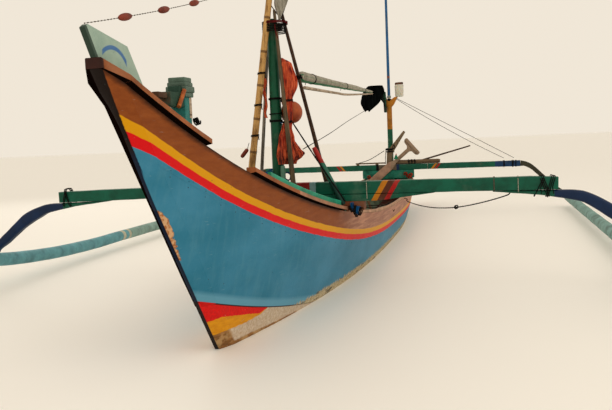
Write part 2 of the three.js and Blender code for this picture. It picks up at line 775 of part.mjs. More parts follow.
function addHeadLashing() {
  const [low, high] = HEAD_LASHING_Z;
  const block = new THREE.CylinderGeometry(...HEAD_LASHING_RADII, high - low, 16);
  block.rotateX(Math.PI / 2);
  block.translate(MAST_X + HEAD_LASHING_SHIFT, MAST_Y - HEAD_LASHING_SHIFT / 2, (low + high) / 2);
  const inside = [
    mastBar(low - PAST, MAST_TOP_Z + PAST, 0.4),
    ...[...POLES, DARK_SPAR].map((spar) => grownPole(spar, 0.4)),
  ];
  add('masthead_lashing', cut(block, ...inside), 'rope');
}

const SAIL_BUNDLE = [
  { z: 2245.5, x: 66, y: -2990, rx: 10, ry: 10 },
  { z: 2395, x: 84, y: -2990, rx: 62, ry: 52 },
  { z: 2620, x: 118, y: -2990, rx: 84, ry: 66 },
  { z: 3200, x: 128, y: -2990, rx: 78, ry: 64 },
  { z: 3900, x: 134, y: -2990, rx: 52, ry: 44 },
  { z: 4500, x: 138, y: -2990, rx: 20, ry: 18 },
];

function ovalRing({ x, y, z, rx, ry }, sides = 14) {
  return Array.from({ length: sides }, (_, j) => {
    const angle = (2 * Math.PI * j) / sides;
    return [x + rx * Math.cos(angle), y + ry * Math.sin(angle), z];
  });
}

const NET_BUNDLE = [
  { z: 1946, x: 66, rx: 16, ry: 14 },
  { z: 1895, x: 100, rx: 56, ry: 34 },
  { z: 1734, x: 122, rx: 80, ry: 42 },
  { z: 1602, x: 98, rx: 50, ry: 38 },
  { z: 1490, x: 112, rx: 32, ry: 38 },
  { z: 1392, x: 88, rx: 46, ry: 38 },
  { z: 1300, x: 80, rx: 72, ry: 46 },
  { z: 1165, x: 82, rx: 104, ry: 52 },
  { z: 1090, x: 76, rx: 84, ry: 48 },
];
const NET_Y = -2988;
const BALL_RADIUS = 94;
const BALL_SPOT = [98, -2860, 1513];

function addSoftGoods() {
  const bundle = loft(SAIL_BUNDLE.map((row) => ovalRing(row)));
  const legs = POLES.map((spar) => grownPole(spar, 1));
  add('sail_bundle', cut(bundle, ...legs), 'sail');
  const net = loft(NET_BUNDLE.map((row) => ovalRing({ ...row, y: NET_Y })));
  const ball = (grown) => {
    const round = new THREE.SphereGeometry(BALL_RADIUS + grown, 16, 10);
    round.rotateX(Math.PI / 2);
    round.translate(...BALL_SPOT);
    return round;
  };
  const clear = [
    mastBar(0, MAST_TOP_Z, 0.6), grownPole(POLES[2], 1), grownPole(DARK_SPAR, 1), ball(GAP),
  ];
  add('net_bundle', cut(net, ...clear), 'orange');
  add('ball_float', ball(0), 'orange');
}

// Furled sail on its boom, which lifts about a rope eye on the dark spar: radius by
// part of its length.
const BOOM_ROLL = [
  { part: 0, radius: 18 },
  { part: 0.011, radius: 50 },
  { part: 0.34, radius: 41 },
  { part: 0.62, radius: 40 },
  { part: 1, radius: 20 },
];

function boomRoll(grown) {
  const stations = BOOM_ROLL.map(({ part, radius }) => (
    { part: part * (1 + grown / 3000), radius: radius + grown }));
  return turnedBar(HINGE, BOOM_TIP, stations, 14);
}

const BOOM_SPAR = [
  [172, -2668, 1722], [48, -700, 1786], [-28, 500, 1832], [-203, 3735, 2016],
];

const CLOTH_OUTLINE = [
  [-395, 1830], [-330, 1760], [-245, 1735], [-200, 1800], [-90, 1860], [-62, 1930],
  [-80, 2060], [-140, 2165], [-210, 2125], [-290, 2090], [-330, 1950],
];
const CLOTH_Y = 3738;
const CLOTH_DEEP = 112;

// Bar along the hinge line, for the eye and for the hole that it turns in.
function eyeBar(half, radius) {
  const [x, y, z] = HINGE;
  return pole([x - half, y, z], [x + half, y, z], radius, radius, 16);
}

function addSailBoom() {
  add('furled_boom', join(boomRoll(0), eyeBar(EYE_HALF, EYE_RADIUS)), 'sail');
  const spar = (grown) => bentBar(BOOM_SPAR, (t) => 15 - 4 * t + grown, 10, 24);
  add('boom_spar', cut(spar(0), boomRoll(GAP)), 'bamboo');
  const cloth = slabXZ(CLOTH_OUTLINE, CLOTH_Y, CLOTH_DEEP);
  add('cloth_bundle', cut(cloth, boomRoll(0.5), spar(0.5)), 'black');
}

// Rope lashing on the dark spar, hollowed for the eye at the boom's fore end.
const LASHING_BELOW = 26;
const LASHING_ABOVE = 12;

function addBoomLashing() {
  const { foot, head } = DARK_SPAR;
  const spotAt = (z) => along(foot, head, (z - foot[2]) / (head[2] - foot[2]));
  const ends = [spotAt(HINGE[2] - LASHING_BELOW), spotAt(HINGE[2] + LASHING_ABOVE)];
  const wrap = pole(...ends, ...LASHING_RADII);
  const eye = eyeBar(LASHING_EYE_HALF, EYE_RADIUS + 0.6);
  add('boom_lashing', cut(wrap, eye, grownPole(DARK_SPAR, 0.4)), 'rope');
}

const CRUTCH_Y = 3888;
const CRUTCH_RADII = [46, 45];
const FORK_DEEP = 60;
const SIGNAL_POLE_RADII = [25, 20];
const JAR = { x: 178, top: 78, foot: 70, high: 240 };
const STRAP_OUTLINE = [
  [-95, 2000], [-30, 2055], [2, 2040], [10, 1900], [12, 1692], [-30, 1692], [-38, 1850],
  [-90, 1930],
];

function addCrutch() {
  const foot = AFT_BOOM_TOP_Z + GAP;
  const fork = [[-38, CRUTCH_TOP_Z - 20], [42, CRUTCH_TOP_Z - 20], [150, FORK_TOP_Z],
    [95, FORK_TOP_Z], [30, FORK_TOP_Z - 50], [-30, FORK_TOP_Z - 50], [-45, FORK_TOP_Z],
    [-70, FORK_TOP_Z]].map(([x, z]) => [CRUTCH_X + x, z]);
  add('crutch_post', join(
    pole([CRUTCH_X, CRUTCH_Y, foot], [CRUTCH_X, CRUTCH_Y, CRUTCH_TOP_Z], ...CRUTCH_RADII),
    slabXZ(fork, CRUTCH_Y, FORK_DEEP),
  ), 'yellow');
  add('signal_pole', pole([CRUTCH_X, CRUTCH_Y, FORK_TOP_Z - 50 + GAP],
    [CRUTCH_X, CRUTCH_Y, SIGNAL_POLE_TOP_Z], ...SIGNAL_POLE_RADII), 'blue');
  const jar = new THREE.CylinderGeometry(JAR.top, JAR.foot, JAR.high, 16);
  jar.rotateX(Math.PI / 2);
  jar.translate(CRUTCH_X + JAR.x, CRUTCH_Y, FORK_TOP_Z + GAP + JAR.high / 2);
  add('jar', jar, 'white');
  const front = CRUTCH_Y - FORK_DEEP / 2 - GAP;
  const back = CLOTH_Y + CLOTH_DEEP / 2 + GAP;
  add('crutch_strap', slabXZ(STRAP_OUTLINE, (front + back) / 2, front - back), 'black');
}

// Loose gear on the aft boom: a forked stub, a plank, two poles and a tee-handled paddle.
const STUB_OUTLINE = [
  [-20, 0], [75, 0], [88, 190], [180, 330], [318, 545], [286, 572], [130, 385], [-5, 230],
].map(([x, z]) => [x, z + AFT_BOOM_TOP_Z + GAP]);

// Paddle in its own lengths: along from the grip and out from the middle line.
const PADDLE_HALF = [
  [0, 0], [0, 165], [22, 172], [62, 166], [84, 140], [92, 60], [120, 33], [420, 31], [520, 66],
  [960, 70], [1010, 40], [1020, 0],
];
const PADDLE_GRIP = [452, 1118];
const PADDLE_SLOPE = Math.atan2(532, 632);
const PADDLE_THICK = 30;

const STICK = { foot: [512, -2888, sheer(-2888) + WALE_HIGH + 2], head: [283, -2892, 1217] };
const STICK_RADII = [25, 20];

const STUB_THICK = 27;

// Plank on two battens, each by its run in X and its height above the boom.
const GREY_PLANK = [
  { from: -560, to: -40, low: 18, high: 40 },
  { from: -545, to: -505, low: 0, high: 18 },
  { from: -215, to: -175, low: 0, high: 18 },
];
const CROSS_POLE = { ends: [[130, 36], [885, 36]], radii: [36, 36] };
const THIN_STICK = { ends: [[480, 30], [1391, 271]], radii: [16, 12], aft: 22 };

function addLooseGear() {
  const top = AFT_BOOM_TOP_Z + GAP;
  const front = AFT_BOOM_Y - AFT_BOOM_DEEP / 2;
  add('raked_stub', slabXZ(STUB_OUTLINE, front + STUB_THICK / 2 + 1, STUB_THICK), 'rawWood');
  const battens = GREY_PLANK.map(({ from, to, low, high }) => box(
    [from, AFT_BOOM_Y - 40, top + low], [to, AFT_BOOM_Y + 30, top + high],
  ));
  add('grey_plank', join(...battens), 'rawWood');
  const [thick, thin] = [CROSS_POLE, THIN_STICK].map(({ ends, radii, aft = 0 }) => pole(
    ...ends.map(([x, lift]) => [x, AFT_BOOM_Y + aft, top + lift]), ...radii));
  add('cross_pole', join(thick, thin), 'rawWood');
  const outline = [...PADDLE_HALF, ...PADDLE_HALF.slice(1, -1).reverse().map(([a, b]) => [a, -b])];
  const [cos, sin] = [Math.cos(PADDLE_SLOPE), Math.sin(PADDLE_SLOPE)];
  const placed = outline.map(([run, out]) => [
    PADDLE_GRIP[0] - run * cos - out * sin, PADDLE_GRIP[1] - run * sin + out * cos,
  ]);
  add('tee_paddle', slabXZ(placed, front - GAP - PADDLE_THICK / 2, PADDLE_THICK), 'rawWood');
  add('red_top_stick', standingPole(STICK.foot, STICK.head, ...STICK_RADII), 'green');
}

// Cord from the port rail to the fore arm, hanging in one shallow sag.
const ROPE_START_Y = 700;
const [ROPE_START_X, , ROPE_START_Z] = edgeAt(ROPE_START_Y);
const SLACK_ROPE = [
  [ROPE_START_X + 0.8, ROPE_START_Y, ROPE_START_Z - 7],
  [ROPE_START_X + 40, ROPE_START_Y - 12, ROPE_START_Z - 11],
  [680, 421, 464], [828, 2, 461], [953, -347, 469], [1079, -696, 487], [1204, -1045, 515],
  [1329, -1394, 552], [1454, -1743, 599], [1580, -2092, 655], [1705, -2441, 717],
  [1812, -2710, 774], [1830, -2790, 796.8],
];

// Stay from the blade's tip to the fore side of the bamboo pole.
const FORESTAY = { foot: [0, -5884, 1821.9], head: [21.4, -3052.9, 2560], radius: 7 };
const SLACK_RADIUS = 6;

function addLines() {
  const { foot, head, radius } = FORESTAY;
  add('forestay', pole(foot, head, radius, radius, 8), 'rope');
  add('slack_rope', bentBar(SLACK_ROPE, () => SLACK_RADIUS, 8, 70), 'rope');
}

addHull();
addRails();
addDecks();
addThwarts();
addBitt();
addBooms();
addArms();
addFloats();
addTripod();
addHeadLashing();
addSoftGoods();
addBoomLashing();
addSailBoom();
addCrutch();
addLooseGear();
addLines();

export default canoe;
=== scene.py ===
"""Outrigger canoe: planking, paint, timber, rope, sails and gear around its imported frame.

Metres. +X is port, -Y is the bow, +Z is up, and the waterline is at Z = 0.
"""

from functools import cache
from math import atan2, cos, pi, radians, sin, sqrt

import bmesh
import bpy
from bpy.props import FloatProperty, FloatVectorProperty, IntProperty, PointerProperty
from mathutils import Matrix, Vector


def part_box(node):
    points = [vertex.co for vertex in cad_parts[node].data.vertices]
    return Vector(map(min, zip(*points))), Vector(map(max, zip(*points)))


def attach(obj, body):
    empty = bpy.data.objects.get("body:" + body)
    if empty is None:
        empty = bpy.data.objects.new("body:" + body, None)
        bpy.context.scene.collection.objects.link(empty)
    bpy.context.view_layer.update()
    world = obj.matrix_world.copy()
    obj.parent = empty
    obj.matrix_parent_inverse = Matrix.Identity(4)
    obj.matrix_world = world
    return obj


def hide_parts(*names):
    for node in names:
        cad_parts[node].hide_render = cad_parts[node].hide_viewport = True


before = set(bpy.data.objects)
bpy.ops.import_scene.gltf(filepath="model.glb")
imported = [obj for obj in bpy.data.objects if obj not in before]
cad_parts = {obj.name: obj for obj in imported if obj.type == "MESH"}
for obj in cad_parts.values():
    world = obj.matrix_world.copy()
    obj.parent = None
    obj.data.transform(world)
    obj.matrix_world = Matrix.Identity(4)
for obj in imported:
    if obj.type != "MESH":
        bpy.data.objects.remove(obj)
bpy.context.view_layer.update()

bl_info = {
    "name": "Outrigger Canoe",
    "version": (1, 0, 0),
    "blender": (4, 5, 0),
    "location": "3D View > Sidebar > Canoe",
    "description": "Builds the canoe's planking, paint, ropes, sails and gear",
    "category": "Object",
}

HULL = "hull"
BOOM = "sail_boom"
SIDES = (("port", 1), ("stbd", -1))

# Hull lines
BOW_FOOT_Y = -4.55
STERN_FOOT_Y = 4.95
END_RAKE = 0.8
FOREFOOT_CURVE = 3.5
KEEL_Z = -0.38
LOG_DEPTH = 0.4
END_HALF = 0.045
NOSE_SHARE = 0.45
WATER_HALF = 0.445
RAIL_HALF_EXTRA = 0.13
FLARE_Z = 0.52
BAND_DROP = 0.245
PLANK = 0.028
LOG_WALL = 0.06
LOG_FLOOR = 0.07
POST_DEPTH = 0.11
SEAM_LAP = 0.004
SEAM_Z = -0.12
SEAM_RISE = 0.488
SEAM_POWER = 2.3
SEAM_RUN = 3.65
SEAM_FORE_Y = -1.2
SEAM_AFT_Y = 1.6
SHEER_LOW_Y = 1.2
SHEER_LOW_Z = 0.48
BOW_SHEER = (1.17, 7.05, 3.15)
STERN_SHEER = (0.31, 4.65, 2.4)
WALE_HIGH = 0.036
WALE_OUT = 0.034
WASH_HIGH = 0.046
WASH_THICK = 0.024
STRIP_GAP = 0.0006
SEAT_GAP = 0.0003

# Inside timber
STRINGER_DROP = 0.19
STRINGER_HIGH = 0.06
BOARD_THICK = 0.032
DECK_THICK = 0.024
THWART_HALF = 0.1
FORE_THWART_Y = -2.25
FORE_DECK_DROP = 0.09
RIB_HALF = 0.0225
FRAME_DEPTH = 0.034
FRAME_LAP = 0.004

# Cross booms, mast and crutch
FORE_BOOM_Y = -2.805
STBD_BOOM_Y = -2.6977
AFT_BOOM_Y = 3.87
TIMBER_HALF = 0.0535
FORE_BOOM_Z = 0.8195
FORE_BOOM_HIGH = 0.107
AFT_BOOM_Z = 0.702
AFT_BOOM_HIGH = 0.098
AFT_BOOM_HALF = 0.058
AFT_TOP_Z = 0.8003
BOOM_REACH = 2.19
FLOAT_X = 2.96
FLOAT_Z = 0.15
FLOAT_RADIUS = 0.065
FLOAT_AFT_Y = 4.15
FLOAT_BEND_Y = -1.0
FLOAT_FORE_Y = -4.35
FLOAT_RISE = 0.425
FLOAT_ROUNDING = 0.004
MAST_X = -0.01
MAST_Y = -2.95
THWART_Z = 0.664
CRUTCH_X = 0.05
CRUTCH_Y = 3.888

# Photograph's camera, fitted in a frame that heels with the boat
EYE = (1.663, -8.768, 1.279)
LENS = 43.13
SENSOR = 36.0
FAR_CLIP = 200
TURN = radians(13.78)
DIP = radians(5.65)
HEEL = radians(2.5)

# Angles past which an edge is sharp, in degrees
TIMBER_EDGE = 30
MESH_EDGE = 38
CLOTH_EDGE = 60


def ink(code, strength=1.0):
    """Linear colour of a six-figure colour code."""
    parts = [int(code[i:i + 2], 16) / 255 for i in (0, 2, 4)]
    linear = [c / 12.92 if c <= 0.04045 else ((c + 0.055) / 1.055) ** 2.4 for c in parts]
    return (*(min(1.0, c * strength) for c in linear), 1.0)


def blend(a, b, part):
    return a + (b - a) * part


def steps_between(start, stop, count):
    return [blend(start, stop, i / count) for i in range(count + 1)]


def clamp(value, low=0.0, high=1.0):
    return max(low, min(high, value))


def bow_y(z):
    return BOW_FOOT_Y - END_RAKE * z + (FOREFOOT_CURVE * z * z if z < 0 else 0)


def stern_y(z):
    return STERN_FOOT_Y + END_RAKE * z - (FOREFOOT_CURVE * z * z if z < 0 else 0)


def half_breadth(y, z):
    """Half the hull's breadth at a place along it and a height."""
    middle = (bow_y(z) + stern_y(z)) / 2
    half = (stern_y(z) - bow_y(z)) / 2
    along = min(1.0, abs((y - middle) / half))
    flare = clamp(z / FLARE_Z)
    above = WATER_HALF + RAIL_HALF_EXTRA * flare ** 0.8
    below = WATER_HALF * sqrt(max(0.0, 1 - (z / LOG_DEPTH) ** 2))
    nose = min(1.0, (half - min(half, abs(y - middle))) / POST_DEPTH)
    end = END_HALF * (NOSE_SHARE + (1 - NOSE_SHARE) * nose)
    return end + (above if z > 0 else below) * (1 - along ** (2.6 + 0.4 * flare))


def sheer(y):
    """Height of the planks' top edge."""
    rise, run, power = BOW_SHEER if y < SHEER_LOW_Y else STERN_SHEER
    return SHEER_LOW_Z + rise * (abs(y - SHEER_LOW_Y) / run) ** power


def band_line(y):
    """Height of the joint between the side planks and the top planks."""
    return sheer(y) - BAND_DROP


def seam_line(y):
    """Height of the joint between the log and the side planks."""
    run = max(SEAM_FORE_Y - y, y - SEAM_AFT_Y) / SEAM_RUN
    return SEAM_Z + SEAM_RISE * max(0.0, run) ** SEAM_POWER


def thwart_top(y):
    return sheer(y) - STRINGER_DROP + STRINGER_HIGH + BOARD_THICK + 0.016


def float_z(y):
    run = (FLOAT_BEND_Y - y) / (FLOAT_BEND_Y - FLOAT_FORE_Y)
    return FLOAT_Z + FLOAT_RISE * max(0.0, run) ** 2


def hull_rows(low, high, inset, depth, levels, stations=110, start=0.0, stop=1.0):
    """Rows of points on the port side between two lines, moved in by a depth."""
    rows = []
    for i in range(stations + 1):
        u = start + (stop - start) * (1 - cos(pi * i / stations)) / 2
        ends = []
        for line in (low, high):
            z = 0.0
            for _ in range(8):
                z = line(bow_y(z) + inset + u * (stern_y(z) - bow_y(z) - 2 * inset))
            ends.append(z)
        row = []
        for j in range(levels + 1):
            z = blend(ends[0], ends[1], j / levels)
            y = bow_y(z) + inset + u * (stern_y(z) - bow_y(z) - 2 * inset)
            row.append(Vector((half_breadth(y, z) - depth, y, z)))
        rows.append(row)
    return rows


def mirrored(rows):
    return [[Vector((-p.x, p.y, p.z)) for p in row] for row in rows]


def sheer_edge(y):
    return Vector((half_breadth(y, sheer(y)), y, sheer(y)))


def planks_head():
    """Fore top corner of the top planks."""
    z = 1.5
    for _ in range(20):
        z = sheer(bow_y(z) + POST_DEPTH)
    return sheer_edge(bow_y(z) + POST_DEPTH)


# Meshes


def linked(name, data):
    """Object at the origin, linked into the scene."""
    made = bpy.data.objects.new(name, data)
    bpy.context.scene.collection.objects.link(made)
    return made


def turn_out(mesh):
    """Turn a mesh's faces outwards."""
    shell = bmesh.new()
    shell.from_mesh(mesh)
    bmesh.ops.recalc_face_normals(shell, faces=shell.faces)
    shell.to_mesh(mesh)
    shell.free()


def new_piece(name, points, faces, uvs=None, angle=MESH_EDGE):
    """Mesh object at the origin with its faces turned out and its edges smoothed."""
    mesh = bpy.data.meshes.new(name)
    mesh.from_pydata([tuple(p) for p in points], [], faces)
    if uvs:
        layer = mesh.uv_layers.new(name="Lines")
        for loop in mesh.loops:
            layer.data[loop.index].uv = uvs[loop.vertex_index]
    turn_out(mesh)
    mesh.shade_smooth()
    mesh.set_sharp_from_angle(angle=radians(angle))
    return linked(name, mesh)


def wall_faces(rows, cols):
    """Faces of a closed wall whose outer grid comes first and inner grid second."""
    def at(side, i, j):
        return side * rows * cols + i * cols + j
    faces = []
    for i in range(rows - 1):
        for j in range(cols - 1):
            faces.append((at(0, i, j), at(0, i + 1, j), at(0, i + 1, j + 1), at(0, i, j + 1)))
            faces.append((at(1, i, j), at(1, i, j + 1), at(1, i + 1, j + 1), at(1, i + 1, j)))
        last = cols - 1
        faces.append((at(0, i, 0), at(1, i, 0), at(1, i + 1, 0), at(0, i + 1, 0)))
        faces.append((at(0, i, last), at(0, i + 1, last), at(1, i + 1, last), at(1, i, last)))
    for j in range(cols - 1):
        last = rows - 1
        faces.append((at(0, 0, j), at(0, 0, j + 1), at(1, 0, j + 1), at(1, 0, j)))
        faces.append((at(0, last, j), at(1, last, j), at(1, last, j + 1), at(0, last, j + 1)))
    return faces


def wall_piece(name, outer, inner, uv_of):
    points = [p for rows in (outer, inner) for row in rows for p in row]
    uvs = [uv_of(p) for p in points]
    return new_piece(name, points, wall_faces(len(outer), len(outer[0])), uvs)


def paint_lines(p):
    """Distance from the nearer end of the hull and drop below its top edge."""
    return min(p.y - bow_y(p.z), stern_y(p.z) - p.y), sheer(p.y) - p.z


def log_lines(p):
    """Distance from the nearer end of the log and drop below its seam."""
    return min(p.y - bow_y(p.z), stern_y(p.z) - p.y), seam_line(p.y) - p.z


def ring_faces(rings, count):
    """Faces of a closed body through rings of points."""
    faces = []
    for i in range(rings - 1):
        for j in range(count):
            k = (j + 1) % count
            a, b = i * count, (i + 1) * count
            faces.append((a + j, a + k, b + k, b + j))
    faces.append(tuple(range(count)))
    faces.append(tuple(range((rings - 1) * count, rings * count)))
    return faces


def oval(x, y, z, wide, deep, count):
    """Level ring of points."""
    turns = [2 * pi * j / count for j in range(count)]
    return [Vector((x + wide * cos(turn), y + deep * sin(turn), z)) for turn in turns]


def loft_piece(name, rings, angle=TIMBER_EDGE, along=None):
    """Closed body through rings of points, with a UV of length and girth."""
    count = len(rings[0])
    points = [p for ring in rings for p in ring]
    places = along or [0.0] * len(rings)
    uvs = [(places[i], j / count) for i in range(len(rings)) for j in range(count)]
    return new_piece(name, points, ring_faces(len(rings), count), uvs, angle)


def join_pieces(name, parts):
    """One object from several mesh objects, each kept as a closed body."""
    shell = bmesh.new()
    for part in parts:
        shell.from_mesh(part.data)
    mesh = bpy.data.meshes.new(name)
    shell.to_mesh(mesh)
    shell.free()
    for part in parts:
        bpy.data.objects.remove(part)
    mesh.set_sharp_from_angle(angle=radians(MESH_EDGE))
    return linked(name, mesh)


def smooth_route(spots, steps):
    """Even Catmull-Rom samples through given points."""
    spots = [Vector(p) for p in spots]
    ends = [2 * spots[0] - spots[1], *spots, 2 * spots[-1] - spots[-2]]
    fine = []
    for i in range(1, len(ends) - 2):
        p, q, r, s = ends[i - 1:i + 3]
        for n in range(24):
            t = n / 24
            fine.append(0.5 * (2 * q + (r - p) * t + (2 * p - 5 * q + 4 * r - s) * t * t
                               + (3 * q - p - 3 * r + s) * t ** 3))
    fine.append(spots[-1])
    lengths = [0.0]
    for a, b in zip(fine, fine[1:]):
        lengths.append(lengths[-1] + (b - a).length)
    route, n = [], 0
    for i in range(steps + 1):
        goal = lengths[-1] * i / steps
        while n < len(fine) - 2 and lengths[n + 1] < goal:
            n += 1
        part = (goal - lengths[n]) / max(1e-9, lengths[n + 1] - lengths[n])
        route.append(fine[n].lerp(fine[n + 1], clamp(part)))
    return route


def route_length(route):
    return sum((b - a).length for a, b in zip(route, route[1:]))


def frames_along(route):
    """Each point of a route with two cross directions that turn as little as they can."""
    tangents = []
    for i in range(len(route)):
        a, b = route[max(0, i - 1)], route[min(len(route) - 1, i + 1)]
        tangents.append((b - a).normalized())
    start = Vector((0, 1, 0)) if abs(tangents[0].y) < 0.8 else Vector((1, 0, 0))
    side = start - tangents[0] * start.dot(tangents[0])
    placed = []
    for point, tangent in zip(route, tangents):
        side = (side - tangent * side.dot(tangent)).normalized()
        placed.append((point, side, tangent.cross(side)))
    return placed


def bar(name, route, radius_at, sides=18, angle=50):
    """Round bar whose radius may change along it and round it."""
    rings, places, run = [], [], 0.0
    for i, (point, side, up) in enumerate(frames_along(route)):
        part = i / (len(route) - 1)
        run += (point - route[i - 1]).length if i else 0.0
        ring = []
        for j in range(sides):
            turn = 2 * pi * j / sides
            reach = radius_at(part, turn)
            ring.append(point + side * reach * cos(turn) + up * reach * sin(turn))
        rings.append(ring)
        places.append(run)
    return loft_piece(name, rings, angle, places)


def straight(foot, head, steps):
    return [Vector(foot).lerp(Vector(head), part) for part in steps_between(0, 1, steps)]


def rounded_section(half_wide, half_high, corner):
    """Rectangle with round corners, as pairs across and up."""
    steps = 4
    corner = min(corner, half_wide * 0.98, half_high * 0.98)
    section = []
    for quarter, (sx, sy) in enumerate(((1, 1), (-1, 1), (-1, -1), (1, -1))):
        for n in range(steps + 1):
            turn = pi / 2 * (quarter + n / steps)
            section.append((sx * (half_wide - corner) + corner * cos(turn),
                            sy * (half_high - corner) + corner * sin(turn)))
    return section


def hewn(place, seed):
    """Small even unevenness of a hand-cut face, from -1 to 1."""
    return (sin(place * 7.3 + seed) + 0.6 * sin(place * 17.9 + seed * 2.1)
            + 0.4 * sin(place * 41.0 + seed * 3.7)) / 2


def beam(name, spots, across, corner, rough, seed):
    """Timber through spots of centre, half width and half height."""
    across = Vector(across)
    rings, places, run = [], [], 0.0
    centres = [Vector(spot[0]) for spot in spots]
    for i, (_, half_wide, half_high) in enumerate(spots):
        a, b = centres[max(0, i - 1)], centres[min(len(spots) - 1, i + 1)]
        up = (b - a).normalized().cross(across)
        run += (centres[i] - centres[i - 1]).length if i else 0.0
        wide = half_wide - rough + rough * hewn(run, seed)
        high = half_high - rough + rough * hewn(run, seed + 5)
        rings.append([centres[i] + across * p + up * q
                      for p, q in rounded_section(wide, high, corner)])
        places.append(run)
    return loft_piece(name, rings, along=places)


def crook_spots(top, foot, half_wide, y, steps):
    """Spots of a crooked timber between its upper and its lower outline."""
    upper = smooth_route([(x, 0, z) for x, z in top], steps)
    lower = smooth_route([(x, 0, z) for x, z in foot], steps)
    return [((a + b) / 2 + Vector((0, y, 0)), half_wide, (a - b).length / 2)
            for a, b in zip(upper, lower)]


def slab(name, outline, axis, middle, thick, bevel):
    """Flat outline with a thickness along X or Y and rounded edges."""
    def place(pair, offset):
        if axis == "X":
            return Vector((middle + offset, pair[0], pair[1]))
        return Vector((pair[0], middle + offset, pair[1]))
    count = len(outline)
    points = [place(pair, offset) for offset in (-thick / 2, thick / 2) for pair in outline]
    faces = [tuple(range(count)), tuple(range(count, 2 * count))]
    faces += [(j, (j + 1) % count, count + (j + 1) % count, count + j) for j in range(count)]
    piece = new_piece(name, points, faces, angle=TIMBER_EDGE)
    shell = bmesh.new()
    shell.from_mesh(piece.data)
    bmesh.ops.bevel(shell, geom=shell.edges[:], offset=bevel, segments=3, profile=0.5,
                    affect="EDGES", clamp_overlap=True)
    bmesh.ops.triangulate(shell, faces=[f for f in shell.faces if len(f.verts) > 4])
    shell.to_mesh(piece.data)
    shell.free()
    piece.data.shade_smooth()
    piece.data.set_sharp_from_angle(angle=radians(TIMBER_EDGE))
    return piece


def rounded_box(name, low, high, bevel):
    """Box with rounded edges between its two corners."""
    outline = [(low[1], low[2]), (high[1], low[2]), (high[1], high[2]), (low[1], high[2])]
    return slab(name, outline, "X", (low[0] + high[0]) / 2, high[0] - low[0], bevel)


# Shader maths

SHINE = 0.22


def maths_of(operation):
    """Method that adds a maths node for a value and a second value or number."""
    def method(self, other):
        return self.finish.maths(operation, self, other)
    return method


class Value:
    """A socket of a finish that plain operators work on."""

    def __init__(self, finish, socket):
        self.finish = finish
        self.socket = socket

    __add__ = __radd__ = maths_of("ADD")
    __mul__ = __rmul__ = maths_of("MULTIPLY")
    __sub__ = maths_of("SUBTRACT")
    __truediv__ = maths_of("DIVIDE")
    larger = maths_of("MAXIMUM")
    smaller = maths_of("MINIMUM")
    power = maths_of("POWER")

    def __rsub__(self, other):
        return self.finish.maths("SUBTRACT", other, self)

    def __abs__(self):
        return self.finish.maths("ABSOLUTE", self)

    def past(self, edge, soft=0.01):
        """Mask that goes from 0 to 1 where the value passes an edge."""
        ramp = (self - edge) * (1 / soft) + 0.5
        return self.finish.node("ShaderNodeClamp", {}, {0: ramp})

    def within(self, low, high, soft=0.01):
        return self.past(low, soft) * (1 - self.past(high, soft))


